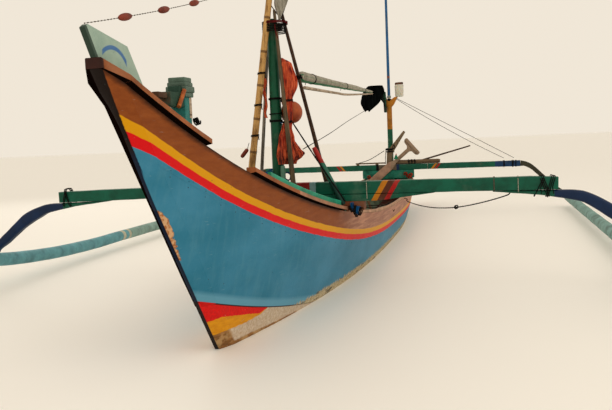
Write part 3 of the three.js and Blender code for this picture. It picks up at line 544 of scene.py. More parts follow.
class Finish:
    """One procedural material and the nodes that it is made of."""

    def __init__(self, name):
        self.material = bpy.data.materials.new(name)
        self.material.use_nodes = True
        self.tree = self.material.node_tree
        self.tree.nodes.clear()
        self.shader = self.tree.nodes.new("ShaderNodeBsdfPrincipled")
        end = self.tree.nodes.new("ShaderNodeOutputMaterial")
        self.tree.links.new(self.shader.outputs[0], end.inputs[0])
        coordinates = self.tree.nodes.new("ShaderNodeTexCoord")
        self.object = Value(self, coordinates.outputs["Object"])
        self.uv = Value(self, coordinates.outputs["UV"])

    def node(self, kind, settings, values, output=0):
        made = self.tree.nodes.new(kind)
        for key, value in settings.items():
            if key == "stops":
                self.set_stops(made.color_ramp, value)
            else:
                setattr(made, key, value)
        for key, value in values.items():
            if isinstance(value, Value):
                self.tree.links.new(value.socket, made.inputs[key])
            else:
                made.inputs[key].default_value = value
        return Value(self, made.outputs[output])

    @staticmethod
    def set_stops(ramp, stops):
        while len(ramp.elements) < len(stops):
            ramp.elements.new(0.5)
        for element, (place, colour) in zip(ramp.elements, stops):
            element.position = place
            element.color = colour

    def maths(self, operation, *values):
        return self.node("ShaderNodeMath", {"operation": operation}, dict(enumerate(values)))

    def profile(self, value, stops):
        """Number that follows given pairs of place and value."""
        shades = [(place, (height, height, height, 1)) for place, height in stops]
        return self.node("ShaderNodeValToRGB", {"stops": shades}, {0: value}) * 1.0

    def mix(self, part, a, b, way="MIX"):
        settings = {"data_type": "RGBA", "blend_type": way, "clamp_factor": True}
        return self.node("ShaderNodeMix", settings, {0: part, 6: a, 7: b}, 2)

    def tint(self, colour, amount, shade):
        """Colour multiplied by a shade, as far as the amount says."""
        return self.mix(amount, colour, shade, "MULTIPLY")

    def scaled(self, vector, scale):
        return self.node("ShaderNodeVectorMath", {"operation": "MULTIPLY"}, {0: vector, 1: scale})

    def parts(self, vector):
        return [self.node("ShaderNodeSeparateXYZ", {}, {0: vector}, n) for n in range(3)]

    def noise(self, vector, scale, detail=4.0, rough=0.55, twist=0.0):
        values = {"Vector": vector, "Scale": scale, "Detail": detail, "Roughness": rough,
                  "Distortion": twist}
        return self.node("ShaderNodeTexNoise", {}, values)

    def cells(self, vector, scale):
        return self.node("ShaderNodeTexVoronoi", {"feature": "F1"}, {"Vector": vector, "Scale": scale})

    def weave(self, scale):
        """Height of threads that cross along X and Z."""
        values = {"Vector": self.object, "Scale": scale, "Distortion": 0.4, "Detail": 2.0}
        threads = [self.node("ShaderNodeTexWave", {"wave_type": "BANDS", "bands_direction": way},
                             values, 1) for way in "XZ"]
        return (threads[0] + threads[1]) * 0.5

    def close(self, colour, rough, height=None, depth=0.002, **fixed):
        """Link what varies to the shader and set what is the same all over."""
        self.shader.inputs["Specular IOR Level"].default_value = SHINE
        for name, value in (("Base Color", colour), ("Roughness", rough)):
            if isinstance(value, Value):
                self.tree.links.new(value.socket, self.shader.inputs[name])
            else:
                self.shader.inputs[name].default_value = value
        if height is not None:
            bump = self.node("ShaderNodeBump", {}, {"Distance": depth, "Height": height})
            self.tree.links.new(bump.socket, self.shader.inputs["Normal"])
        for name, value in fixed.items():
            self.shader.inputs[name.replace("_", " ")].default_value = value
        return self.material


GRAIN = {"X": (1.2, 34, 34), "Y": (34, 1.2, 34), "Z": (34, 34, 1.2)}


def painted(name, paint, under, along, wear, rough, dirt, bands=(), level=0.0, pale=0.06):
    """Hand-painted timber: bands by place along it, some leaning about a level, and wear."""
    f = Finish(name)
    x, y, z = f.parts(f.object)
    place = {"X": x, "Y": y, "Z": z}[along]
    fibres = f.noise(f.scaled(f.object, GRAIN[along]), 1.6, 6, 0.6, 0.3)
    blotches = f.noise(f.object, 5.5, 5, 0.6)
    fine = f.noise(f.object, 46, 4, 0.65)
    colour = f.mix(0.0, ink(paint), ink(paint))
    spot = place + (fine - 0.5) * 0.012
    for start, end, shade, *lean in bands:
        edge = spot - (z - level) * lean[0] if lean else spot
        colour = f.mix(edge.within(start, end, 0.004), colour, ink(shade))
    colour = f.tint(colour, blotches.within(0.44, 0.8, 0.2) * 0.35, ink("9aa79c"))
    colour = f.mix(blotches.past(0.62, 0.12) * pale, colour, ink("c9c4ae"))
    chips = (fibres * 0.55 + fine * 0.45).past(0.75 - 0.22 * wear, 0.05)
    colour = f.mix(chips * 0.85, colour, ink(under))
    grime = f.noise(f.scaled(f.object, (3, 3, 3)), 2.2, 6, 0.7).past(0.56, 0.2)
    colour = f.tint(colour, grime * dirt, ink("4a3a2a"))
    height = fibres * 0.55 + fine * 0.25 - chips * 0.35
    return f.close(colour, rough + chips * 0.3 + (blotches - 0.5) * 0.25, height, 0.004)


def bare_wood(name, pale, dark, along, rough=0.85):
    """Weathered wood with long grain, checks and grey patches."""
    f = Finish(name)
    fibres = f.noise(f.scaled(f.object, GRAIN[along]), 1.8, 8, 0.65, 0.4)
    checks = f.noise(f.scaled(f.object, tuple(v * 2.4 for v in GRAIN[along])), 1.1, 3, 0.5)
    blotches = f.noise(f.object, 4.0, 5, 0.6)
    colour = f.mix(fibres.past(0.5, 0.5), ink(dark), ink(pale))
    colour = f.tint(colour, checks.past(0.6, 0.08) * 0.6, ink("4b3a2c"))
    colour = f.tint(colour, blotches.past(0.55, 0.25) * 0.4, ink("7b7469"))
    return f.close(colour, rough, fibres * 0.7 - checks.past(0.6, 0.06) * 0.6, 0.005)


def rope_finish(name, pale, dark):
    """Laid rope: strands by the piece's own shape, fibres and dirt by noise."""
    f = Finish(name)
    fibres = f.noise(f.object, 420, 3, 0.6)
    stain = f.noise(f.object, 26, 4, 0.6)
    colour = f.mix(fibres.past(0.5, 0.4), ink(dark), ink(pale))
    colour = f.tint(colour, stain.past(0.55, 0.2) * 0.5, ink("5a4c3e"))
    return f.close(colour, 0.95, fibres, 0.0015, Specular_IOR_Level=0.05)


def cloth_finish(name, base, fold, bands=(), sheen=0.15):
    """Cloth with a visible weave, lighter where its folds rise, and painted or sewn bands by girth."""
    f = Finish(name)
    girth = f.parts(f.uv)[1]
    threads = f.weave(260)
    stain = f.noise(f.object, 7, 6, 0.65)
    folds = f.noise(f.scaled(f.object, (30, 30, 3)), 1.2, 4, 0.6)
    colour = f.mix(folds.past(0.5, 0.35), ink(base), ink(fold))
    for start, end, shade in bands:
        mask = (girth + (stain - 0.5) * 0.03).within(start, end, 0.012)
        colour = f.mix(mask, colour, ink(shade))
    colour = f.tint(colour, stain.past(0.56, 0.18) * 0.5, ink("74695a"))
    return f.close(colour, 0.95, threads * 0.35 + folds * 0.65, 0.004, Sheen_Weight=sheen,
                   Specular_IOR_Level=sheen)


def net_cloth(name):
    """Red net, lighter orange on its fold ridges, near-black painted shade in the fold hollows, deepest
    at its foot.
    """
    f = Finish(name)
    z = f.parts(f.object)[2]
    threads = f.weave(110)
    folds = f.noise(f.scaled(f.object, (34, 34, 6)), 1.2, 5, 0.65)
    colour = f.mix(folds.past(0.53, 0.2), ink("9a1f0c"), ink("e8683a"))
    # Painted shade: near-black in the low parts of the folds, more of it below z 1.2.
    deep = (1 - z.past(1.2, 0.12)) * folds.within(0.4, 0.5, 0.04)
    colour = f.mix((1 - folds.past(0.4, 0.08)) * 0.7 + deep * 0.8, colour, ink("1c0a08"))
    return f.close(colour, 0.95, threads * 0.3 + folds * 0.8, 0.006, Sheen_Weight=0.1)


def hull_paint(name):
    """Outer paint of the planks: sky blue, red and amber bands, terracotta above, a painted shadow under
    the rail and a painted highlight just above the log's seam.
    """
    look = bpy.context.scene.canoe_hull
    f = Finish(name)
    end, drop, _ = f.parts(f.uv)
    x, y, z = f.parts(f.object)
    wobble = (f.noise(f.object, 9, 3) - 0.5) * 0.012
    fine = f.noise(f.object, 60, 5, 0.65)
    clouds = f.noise(f.scaled(f.object, (1, 0.8, 1.6)), 2.2, 5, 0.55)
    drips = f.noise(f.scaled(f.object, (9, 9, 0.9)), 2.0, 5, 0.6)
    brush = f.noise(f.scaled(f.object, (20, 1.2, 22)), 1.6, 5, 0.6)
    blue = f.mix(clouds.past(0.5, 0.35), tuple(look.blue_deep), tuple(look.blue))
    blue = f.mix(drips.past(0.6, 0.25) * 0.1, blue, ink("7fb2bd"))
    above = z - SEAM_Z - ((SEAM_FORE_Y - y) / SEAM_RUN).larger(0.0).power(SEAM_POWER) * SEAM_RISE
    # Painted highlight: lighter blue along the side planks just above the log's seam.
    seam_highlight = (1 - above.past(0.055, 0.03)) * 0.65
    blue = f.mix(seam_highlight, blue, ink("6aa5be"))
    blue = f.mix(1 - above.past(0.004, 0.003), blue, ink("16242c"))
    earth = f.mix(brush.past(0.5, 0.4), ink("7d3d14"), ink("8d4a1c"))
    bare = (y + (clouds - 0.5) * 0.8).past(-2.75, 0.5)
    pink = f.mix(brush.past(0.52, 0.2), ink("94604a"), ink("b98468"))
    earth = f.mix(bare, earth, pink)
    # Painted shadow: near-black on the top planks just under the rail, from the bow to about y -2.95.
    wale_shadow = 1 - (drop + (brush - 0.5) * 0.02).past(0.015, 0.03)
    earth = f.mix(wale_shadow * (1 - y.past(-2.95, 0.1)) * 0.92, earth, ink("140a06"))
    climb = f.profile(end * 0.25, [(0.0, 0.026), (0.0625, 0.026), (0.12, 0.018), (0.17, 0.014),
                                   (0.25, 0.012), (0.4, 0.01), (0.55, 0.004), (0.7, 0.0)])
    line = drop + wobble + climb
    colour = f.mix(line.past(look.amber_drop, 0.003), earth, tuple(look.amber))
    colour = f.mix(line.past(look.red_drop, 0.003), colour, tuple(look.red))
    colour = f.mix(line.past(look.blue_drop, 0.003), colour, blue)
    above_red = (1 - above.past(0.004, 0.003)) * (1 - end.past(0.1, 0.004))
    colour = f.mix(above_red, colour, ink("c10a06"))
    dark_edge = 1 - (end + (fine - 0.5) * 0.006).past(0.007, 0.003)
    front = dark_edge * (z.past(1.15, 0.05) + x.past(-0.03, 0.002) * (1 - x.past(0.01, 0.003)))
    high = drop.past(0.24, 0.04)
    stem = f.mix(high, ink("160b07"), ink("08182f"))
    far_cheek = (1 - x.past(-0.008, 0.003)) * (1 - end.past(0.12, 0.006))
    colour = f.mix(far_cheek, colour, ink("0a0c10"))
    reach = f.profile((z - 0.64) * (1 / 0.32), [(0.0, 0.006), (0.25, 0.012), (0.5, 0.03),
                                                (0.72, 0.045), (0.88, 0.03), (1.0, 0.0)])
    torn = f.noise(f.scaled(f.object, (9, 9, 14)), 2.6, 6, 0.7) - 0.5
    flakes = 1 - (end + torn * 0.05 - reach * 0.72).past(0.0, 0.004)
    flakes = flakes * z.within(0.65, 0.95, 0.01)
    shreds = f.noise(f.object, 34, 4, 0.6).past(0.5, 0.12)
    colour = f.mix(flakes, colour, f.mix(shreds, ink("a8683a"), ink("d0a67c")))
    colour = f.mix(front.smaller(1.0), colour, stem)
    scum_top = 0.055 + (f.noise(f.scaled(f.object, (10, 10, 1)), 3.0, 6, 0.75) - 0.42) * 0.16
    scum = 1 - (z - scum_top).past(0.0, 0.012)
    grime = f.mix(fine.past(0.5, 0.3), ink("9a7a44"), ink("d8c8a4"))
    streaks = f.noise(f.scaled(f.object, (2, 2, 16)), 2.4, 5, 0.7).past(0.58, 0.04)
    grime = f.mix(streaks * 0.8, grime, ink("2e2414"))
    colour = f.mix(scum * 0.92, colour, grime)
    specks = f.cells(f.object, 26).past(0.09, 0.03)
    pits = (1 - specks) * f.noise(f.object, 5, 2).past(0.62, 0.04)
    colour = f.mix(pits * 0.8, colour, ink("2b3a3c"))
    scratches = f.noise(f.scaled(f.object, (30, 3, 70)), 1.4, 3, 0.5).past(0.7, 0.02)
    colour = f.mix(scratches * 0.1, colour, ink("a9c4c4"))
    lap = abs(drop - BAND_DROP).past(0.0025, 0.002)
    height = brush * 0.35 + fine * 0.2 + lap * 0.08 - flakes * 0.5 - pits * 0.4 + clouds * 0.4
    rough = 0.42 + drips * 0.16 + scum * 0.35 + flakes * 0.3
    return f.close(colour, rough, height, 0.004, Specular_IOR_Level=0.12)


def log_paint(name):
    """Forefoot of the log: red, amber and whitish swoops, then raw stained wood."""
    f = Finish(name)
    end, drop, _ = f.parts(f.uv)
    x = f.parts(f.object)[0]
    fine = f.noise(f.object, 60, 5, 0.65)
    ragged = (f.noise(f.object, 16, 5, 0.7) - 0.5) * 0.02
    fibres = f.noise(f.scaled(f.object, (30, 2.0, 30)), 1.6, 7, 0.65)
    raw = f.mix(fibres.past(0.5, 0.4), ink("5f3d1e"), ink("a1713c"))
    raw = f.mix(f.noise(f.object, 11, 5).past(0.56, 0.08) * 0.5, raw, ink("c7a673"))
    line = drop + ragged
    red_low = f.profile(end, [(0.0, 0.115), (0.11, 0.074), (0.3, 0.056), (0.5, 0.042), (0.62, 0.0)])
    amber_low = f.profile(end, [(0.0, 0.192), (0.13, 0.15), (0.3, 0.108), (0.5, 0.05), (0.62, 0.0)])
    white_low = f.profile(end, [(0.14, 0.225), (0.32, 0.175), (0.57, 0.126), (0.82, 0.08), (1.0, 0.05)])
    whitish = f.mix(fine.past(0.5, 0.4), ink("b3977a"), ink("dccfbb"))
    white = (1 - (line - white_low).past(0.0, 0.008)) * (end + ragged * 2).past(0.135, 0.02)
    colour = f.mix(white * 0.9, raw, whitish)
    amber = 1 - (line - amber_low).past(0.0, 0.004)
    colour = f.mix(amber, colour, f.mix(fibres.past(0.55, 0.3), ink("dc9606"), ink("c87f0c")))
    red = 1 - (line - red_low).past(0.0, 0.004)
    colour = f.mix(red, colour, f.mix(fine.past(0.5, 0.3), ink("e00a06"), ink("c40c08")))
    worn = f.noise(f.scaled(f.object, (7, 3, 12)), 3.0, 7, 0.75).past(0.66, 0.025)
    colour = f.mix(worn * end.past(0.02, 0.03), colour, ink("cdb894"))
    seam = 1 - drop.past(0.004, 0.003)
    colour = f.mix(seam * 0.9, colour, ink("180c08"))
    stem = (1 - (end + ragged * 0.6).past(0.014, 0.006)) * (1 - x.past(0.01, 0.003))
    colour = f.mix(stem, colour, ink("160c0c"))
    height = fibres * 0.6 + fine * 0.25 - worn * 0.3
    return f.close(colour, 0.62 + fibres * 0.2, height, 0.005)


def bamboo_finish(name):
    """Yellow bamboo with brown blotches and a ring at each joint."""
    f = Finish(name)
    run = f.parts(f.uv)[0]
    fibres = f.noise(f.scaled(f.object, (60, 60, 2)), 1.6, 6, 0.6)
    blotches = f.noise(f.scaled(f.object, (6, 6, 1.4)), 3.0, 5, 0.65)
    colour = f.mix(fibres.past(0.5, 0.4), ink("a8793f"), ink("cfa566"))
    colour = f.tint(colour, blotches.past(0.56, 0.12) * 0.7, ink("6b4a28"))
    colour = f.mix(f.noise(f.object, 40, 4).past(0.66, 0.05) * 0.6, colour, ink("3a2a1a"))
    joint = abs(f.maths("FRACT", run / 0.27) - 0.5).past(0.465, 0.02)
    colour = f.tint(colour, joint * 0.7, ink("5a3c20"))
    return f.close(colour, 0.45 + blotches * 0.25, fibres * 0.4 + joint, 0.003)


def blade_paint(name):
    """Pale green board with a plain blue arc on each face and a dark front edge."""
    f = Finish(name)
    x, y, z = f.parts(f.object)
    fibres = f.noise(f.scaled(f.object, (30, 6, 22)), 1.6, 6, 0.6)
    blotches = f.noise(f.object, 7, 5, 0.6)
    colour = f.mix(blotches.past(0.5, 0.4), ink("86a094"), ink("a0b5a6"))
    dy = y + 5.679
    dz = z - 1.572
    reach = f.maths("SQRT", dy * dy + dz * dz)
    arc = reach.within(0.1544, 0.1744, 0.004) * y.within(-5.775, -5.55, 0.01) * z.past(1.617, 0.01)
    colour = f.mix(arc * (0.75 + fibres * 0.3), colour, ink("2c62a0"))
    colour = f.mix(fibres.past(0.66, 0.05) * 0.5, colour, ink("4f5f55"))
    edge = 1 - abs(x).past(0.013, 0.002)
    colour = f.tint(colour, edge * 0.75, ink("2c4438"))
    front = 1 - (y + 5.908 - (1.798 - z) * 0.65).past(0.02, 0.004)
    colour = f.mix(front * 0.9, colour, ink("22362c"))
    return f.close(colour, 0.6, fibres * 0.6 + blotches * 0.2, 0.004)


def jar_plastic(name):
    """Milky plastic with brown smears."""
    f = Finish(name)
    smears = f.noise(f.scaled(f.object, (8, 8, 3)), 3.2, 5, 0.65)
    colour = f.mix(smears.past(0.5, 0.3), ink("b9b4a2"), ink("dcd8ca"))
    colour = f.mix(smears.past(0.62, 0.06) * 0.6, colour, ink("8a7a5e"))
    return f.close(colour, 0.35 + smears * 0.2, smears * 0.4, 0.002,
                   Subsurface_Weight=0.25, Subsurface_Scale=0.02)


def plain_finish(name, colour, dark, rough=0.6, scale=12.0, shine=SHINE):
    """One cloudy colour with a fine grain."""
    f = Finish(name)
    cloud = f.noise(f.object, scale, 5, 0.6)
    fine = f.noise(f.object, scale * 9, 3, 0.6)
    shade = f.mix(cloud.past(0.5, 0.35), ink(dark), ink(colour))
    return f.close(shade, rough + (cloud - 0.5) * 0.2, fine * 0.6 + cloud * 0.4, 0.002,
                   Specular_IOR_Level=shine)


# Painted bands: start and end along the timber, colour, and lean where they slant
PORT_BANDS = ((0.113, 0.225, "8e1712"), (0.225, 0.277, "7fa6aa"), (0.802, 0.85, "c8790e", 0.6),
              (0.85, 0.904, "5a2a14", 0.6), (0.904, 0.945, "b8100c", 0.6))
AFT_BANDS = ((-0.87, -0.83, "a8120e", -0.8), (-0.81, -0.77, "c8790e", -0.8),
             (-0.196, -0.155, "0d0d0d"), (-0.155, 0.15, "6a5d4c"), (0.15, 0.2, "0b2a57"),
             (0.765, 0.805, "c8790e", 0.8), (0.825, 0.865, "a8120e", 0.8),
             (1.787, 2.3, "0c3a66"))

# Painted timber: name, paint, wood under it, grain's axis, wear, roughness, dirt, bands, the
# level that leaning bands turn about, and pale bloom
GREEN = ("045c46", "3a2a1c", "X", 0.14, 0.45, 0.4)
PAINTS = (
    ("inside", "6f7f6a", "6e5138", "Y", 0.7, 0.75, 0.6),
    ("stem_head", "a0592f", "4a2a18", "Y", 0.3, 0.6, 0.35, ((-5.9, -5.822, "3a1810"),)),
    ("rail", "a05a30", "6a4126", "Y", 0.4, 0.6, 0.4, ((-3.9, 0.0, "b98468"),)),
    ("capping", "c09478", "7a5440", "Y", 0.4, 0.7, 0.3),
    ("turquoise", "2ba181", "b8a082", "Y", 0.35, 0.5, 0.35),
    ("bitt_paint", "328a86", "8a6a48", "Z", 0.4, 0.6, 0.45, ((1.545, 1.7, "5d7568"),)),
    ("fore_port", *GREEN, PORT_BANDS, 0.873),
    ("doubler", *GREEN, PORT_BANDS[2:], 0.873),
    ("fore_stbd", *GREEN),
    ("aft_boom", *GREEN, AFT_BANDS, 0.751),
    ("bearer", "7a3f22", "8f6a48", "X", 0.4, 0.7, 0.5),
    ("aft_bearer", "1f7a66", "4a3a2a", "X", 0.4, 0.7, 0.6),
    ("arm_paint", "08264c", "2a4a78", "X", 0.2, 0.4, 0.25, ((-2.16, 2.16, "0a5b45"),), 0.0, 0.0),
    ("aft_arm", "3c3a2c", "8a6a44", "X", 0.5, 0.7, 0.35),
    ("float_stbd", "6aa9b5", "2f6a74", "Y", 0.45, 0.6, 0.4,
     ((-0.24, -0.17, "d0cbb2"), (-0.08, -0.02, "d0cbb2"), (-0.02, 4.3, "8fb0a8"))),
    ("float_port", "7fa6a0", "44685e", "Y", 0.55, 0.65, 0.5, ((-4.5, -4.3, "2c3a34"),)),
    ("mast_paint", "07563a", "2c1c10", "Z", 0.12, 0.4, 0.3),
    ("cheek_paint", "5f8a78", "4a3a2a", "Z", 0.4, 0.5, 0.35),
    ("crutch_paint", "0d5a40", "4a3a28", "Z", 0.3, 0.55, 0.45, ((1.405, 2.2, "b8741a"),)),
    ("paddle", "a08670", "6b4a34", "X", 0.3, 0.85, 0.4, ((-0.4, 0.06, "b08a74"),)),
    ("arm_green", "2a4a3c", "5a4632", "Y", 0.3, 0.7, 0.35, ((-5.3, -5.12, "5a3a26"),)),
    ("pole_paint", "1f5f96", "7a8a90", "Z", 0.25, 0.45, 0.35,
     ((1.9, 1.975, "b9a68c"), (2.27, 2.31, "8c4a40"))),
    # Stick: its lower part, z 0.6 to 0.93, is painted dark green as painted shadow.
    ("stick_paint", "2f6b58", "707468", "Z", 0.4, 0.5, 0.35,
     ((0.6, 0.93, "0c3a30"), (1.09, 1.3, "a8241c"))),
    ("strap_paint", "10120f", "2b6a52", "Z", 0.9, 0.8, 0.35),
    ("green_cork", "2a8a66", "a8241c", "Z", 0.4, 0.5, 0.35, ((0.96, 1.1, "b0281c"),)),
)
# Bare wood: name, pale colour, dark colour, grain's axis and roughness
WOODS = (
    ("grey_wood", "a39c92", "6a625a", "Z"),
    ("spar_wood", "7c6a50", "3c3024", "Z"),
    ("dark_wood", "5a3c28", "1d120c", "Z", 0.6),
    ("board_wood", "9d7f5e", "5b4331", "X"),
    ("rib_wood", "8f6f50", "553b29", "Z"),
    ("gear_wood", "8a7358", "4c3a2a", "X"),
    ("stub_wood", "9a8468", "4a3a2c", "Z"),
    ("pale_spar", "cbb9a4", "9c8570", "Y"),
)
# Cloth: name, base colour, colour of the folds, bands by girth and sheen
CLOTHS = (
    ("sail", "8b8572", "b5ae9c", ((0.13, 0.42, "1c7a4c"),)),
    ("sail_bundle", "77705f", "c9c3b4"),
    ("black_cloth", "060606", "101314", (), 0.0),
)
# Plain things: name, colour, dark colour, roughness, scale of the clouds and shine
PLAINS = (
    # First row: flat near-black with no shine, painted shade on the down faces of the rails and head
    # block, and the stem's dark paint on the post's starboard face.
    ("rail_under", "120906", "0a0504", 0.85, 12.0, 0.0),
    ("orange_paint", "c06a30", "8c421a", 0.6, 30.0),
    ("lid", "6b4632", "3a2418"),
    ("ball", "b0562a", "7e2f16", 0.45, 9.0),
    ("maroon", "8a3b2a", "5e2418", 0.6, 20.0),
    ("iron", "3a2e28", "1b1513", 0.7, 60.0),
)
# Rope: name, pale colour and dark colour
ROPES = (
    ("rope_black", "262422", "0a0909"),
    ("rope_white", "d9d4c4", "9a9080"),
    ("rope_grey", "7d7364", "3f372e"),
    ("rope_blue", "2d5c9e", "10254c"),
    ("rope_bright", "1f6fae", "0c2c5a"),
    ("rope_pale_blue", "9fbfc4", "5f8488"),
    ("rope_maroon", "7a1f22", "3c0e10"),
    ("rope_red", "c0452a", "70180c"),
)
KINDS = (
    (painted, PAINTS), (bare_wood, WOODS), (cloth_finish, CLOTHS), (plain_finish, PLAINS),
    (rope_finish, ROPES), (hull_paint, (("hull_paint",),)), (log_paint, (("log_paint",),)),
    (blade_paint, (("blade_paint",),)), (bamboo_finish, (("bamboo",),)),
    (jar_plastic, (("jar_plastic",),)), (net_cloth, (("net",),)),
)
FINISH_ROWS = {row[0]: (maker, row) for maker, rows in KINDS for row in rows}


@cache
def finish(name):
    """Finish by its name, made the first time that it is asked for."""
    maker, row = FINISH_ROWS[name]
    return maker(*row)


def dress(piece, look, nodes=(), body=HULL):
    """Give a finished piece its finish, its body and the frame's nodes it stands for."""
    piece.data.materials.clear()
    piece.data.materials.append(finish(look))
    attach(piece, body)
    if nodes:
        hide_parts(*nodes)
    return piece


def repaint(piece, look, picked):
    """Give the faces that a test picks another finish."""
    piece.data.materials.append(finish(look))
    index = len(piece.data.materials) - 1
    for face in piece.data.polygons:
        if picked(face):
            face.material_index = index


def looks_down(face):
    return face.normal.z < -0.2


# Geometry trees


class Tree:
    """A geometry node tree with named numbers and a finish as inputs, written as calls."""

    def __init__(self, name, numbers):
        self.group = bpy.data.node_groups.new(name, "GeometryNodeTree")
        face = self.group.interface
        face.new_socket("Geometry", in_out="INPUT", socket_type="NodeSocketGeometry")
        face.new_socket("Geometry", in_out="OUTPUT", socket_type="NodeSocketGeometry")
        for label in numbers:
            face.new_socket(label, in_out="INPUT", socket_type="NodeSocketFloat")
        face.new_socket("Finish", in_out="INPUT", socket_type="NodeSocketMaterial")
        self.inputs = self.group.nodes.new("NodeGroupInput").outputs

    def node(self, kind, settings, values, output=0):
        made = self.group.nodes.new(kind)
        for key, value in settings.items():
            setattr(made, key, value)
        for key, value in values.items():
            if isinstance(value, bpy.types.NodeSocket):
                self.group.links.new(value, made.inputs[key])
            else:
                made.inputs[key].default_value = value
        return made.outputs[output]

    def times(self, a, b):
        return self.node("ShaderNodeMath", {"operation": "MULTIPLY"}, {0: a, 1: b})

    def close(self, geometry):
        """End the tree with real meshes in its finish."""
        real = self.node("GeometryNodeRealizeInstances", {}, {0: geometry})
        shown = self.node("GeometryNodeSetMaterial", {},
                          {"Geometry": real, "Material": self.inputs["Finish"]})
        end = self.group.nodes.new("NodeGroupOutput")
        self.group.links.new(shown, end.inputs[0])
        return self

    def run(self, name, source, values):
        """Plain mesh object that the tree makes from a source object."""
        modifier = source.modifiers.new("Make", "NODES")
        modifier.node_group = self.group
        for item in self.group.interface.items_tree:
            if item.item_type == "SOCKET" and item.name in values:
                modifier[item.identifier] = values[item.name]
        layer = bpy.context.evaluated_depsgraph_get()
        mesh = bpy.data.meshes.new_from_object(source.evaluated_get(layer))
        bpy.data.objects.remove(source)
        if not mesh.polygons:
            raise RuntimeError(f"{name}: the tree made no faces")
        mesh.name = name
        turn_out(mesh)
        return linked(name, mesh)


@cache
def rope_tree():
    """Laid rope along curves: a four-lobed section that twists as it runs."""
    tree = Tree("Laid Rope", ("Rope Radius", "Step", "Twist"))
    even = tree.node("GeometryNodeResampleCurve", {"mode": "LENGTH"},
                     {"Curve": tree.inputs["Geometry"], "Length": tree.inputs["Step"]})
    run = tree.node("GeometryNodeSplineParameter", {}, {}, 1)
    laid = tree.node("GeometryNodeSetCurveTilt", {},
                     {"Curve": even, "Tilt": tree.times(run, tree.inputs["Twist"])})
    inner = tree.times(tree.inputs["Rope Radius"], 0.78)
    section = tree.node("GeometryNodeCurveStar", {},
                        {"Points": 4, "Inner Radius": inner,
                         "Outer Radius": tree.inputs["Rope Radius"]})
    swept = tree.node("GeometryNodeCurveToMesh", {},
                      {"Curve": laid, "Profile Curve": section, "Fill Caps": True})
    smooth = tree.node("GeometryNodeSetShadeSmooth", {}, {"Geometry": swept})
    return tree.close(smooth)


@cache
def stud_tree():
    """Heads of nails at an even spacing along curves."""
    tree = Tree("Nail Heads", ("Spacing", "Head Radius"))
    spots = tree.node("GeometryNodeResampleCurve", {"mode": "LENGTH"},
                      {"Curve": tree.inputs["Geometry"], "Length": tree.inputs["Spacing"]})
    head = tree.node("GeometryNodeMeshUVSphere", {},
                     {"Segments": 7, "Rings": 4, "Radius": tree.inputs["Head Radius"]})
    placed = tree.node("GeometryNodeInstanceOnPoints", {}, {"Points": spots, "Instance": head})
    return tree.close(placed)


def curve_source(routes):
    """Curve object with one straight-segment spline for each route."""
    data = bpy.data.curves.new("routes", "CURVE")
    data.dimensions = "3D"
    for route in routes:
        spline = data.splines.new("POLY")
        spline.points.add(len(route) - 1)
        for spot, point in zip(spline.points, route):
            spot.co = (*point, 1)
    return linked("routes", data)


def rope_piece(name, routes, radius, look="rope_black", nodes=(), body=HULL, step=None):
    """Laid ropes of one radius along routes, as one piece."""
    values = {"Rope Radius": radius, "Step": step or radius * 1.6, "Twist": 1.1 / radius,
              "Finish": finish(look)}
    piece = rope_tree().run(name, curve_source(routes), values)
    return dress(piece, look, nodes, body)


# Axis and cross direction of turns round an upright bar
UPRIGHT = ((0, 0, 1), (1, 0, 0))


def windings(centre, axis, across, half_wide, half_high, turns, pitch, corner=1.0, tail=0.0):
    """Turns of rope round a bar: corner 1 is an oval section, less is a squarer one."""
    centre, axis, across = Vector(centre), Vector(axis).normalized(), Vector(across).normalized()
    up = axis.cross(across)
    steps = 20
    route = []
    for n in range(int(turns * steps) + 1):
        turn = 2 * pi * n / steps
        c, s = cos(turn), sin(turn)
        squareness = (abs(c) ** (2 / corner) + abs(s) ** (2 / corner)) ** (-corner / 2)
        offset = (n / steps - turns / 2) * pitch
        route.append(centre + axis * offset + across * half_wide * c * squareness
                     + up * half_high * s * squareness)
    if tail:
        last = route[-1]
        out = (last - centre).normalized() * 0.012
        route.append(last + out + Vector((0, 0, -tail * 0.4)))
        route.append(last + out * 1.6 + Vector((0, 0, -tail)))
    return route


# Sizes and colours that a user would change


def colour_of(name, description, code):
    return FloatVectorProperty(name=name, description=description, subtype="COLOR", size=4,
                               min=0, max=1, default=ink(code))


def length_of(name, description, value):
    return FloatProperty(name=name, description=description, unit="LENGTH", default=value)


class CanoeHullSettings(bpy.types.PropertyGroup):
    """Paint of the hull and steps along it"""

    blue: colour_of("Sky Blue", "Lighter blue of the side planks", "3d84a4")
    blue_deep: colour_of("Deep Blue", "Darker blue of the side planks", "24718e")
    amber: colour_of("Amber", "Upper painted band", "d69600")
    red: colour_of("Red", "Lower painted band", "d40a12")
    amber_drop: length_of("Amber Top", "Band's top below the planks' edge", 0.147)
    red_drop: length_of("Red Top", "Red band's top below the planks' edge", 0.192)
    blue_drop: length_of("Blue Top", "Where the blue paint starts", 0.24)
    stations: IntProperty(name="Stations", description="Steps along the hull", default=110, min=20)


class CanoeRopeSettings(bpy.types.PropertyGroup):
    """Thickness of the ropes"""

    slack: length_of("Slack Rope", "Diameter of the hanging rope", 0.012)
    lashing: length_of("Lashing", "Radius of the lashings' rope", 0.006)
    stay: length_of("Stay", "Radius of the stays", 0.0045)


class CanoeStageSettings(bpy.types.PropertyGroup):
    """Floor and light"""

    floor: colour_of("Floor", "Colour of the plain floor", "f9f6f0")
    sky: FloatProperty(name="Sky", description="Strength of the even light", default=0.95, min=0)
    key: FloatProperty(name="Key Light", description="Power of the large lamp", default=170.0,
                       min=0, unit="POWER")


class CanoeOperator(bpy.types.Operator):
    """Base of the canoe's operators."""

    bl_options = {"REGISTER", "UNDO"}

    def execute(self, context):
        self.build(context)
        return {"FINISHED"}


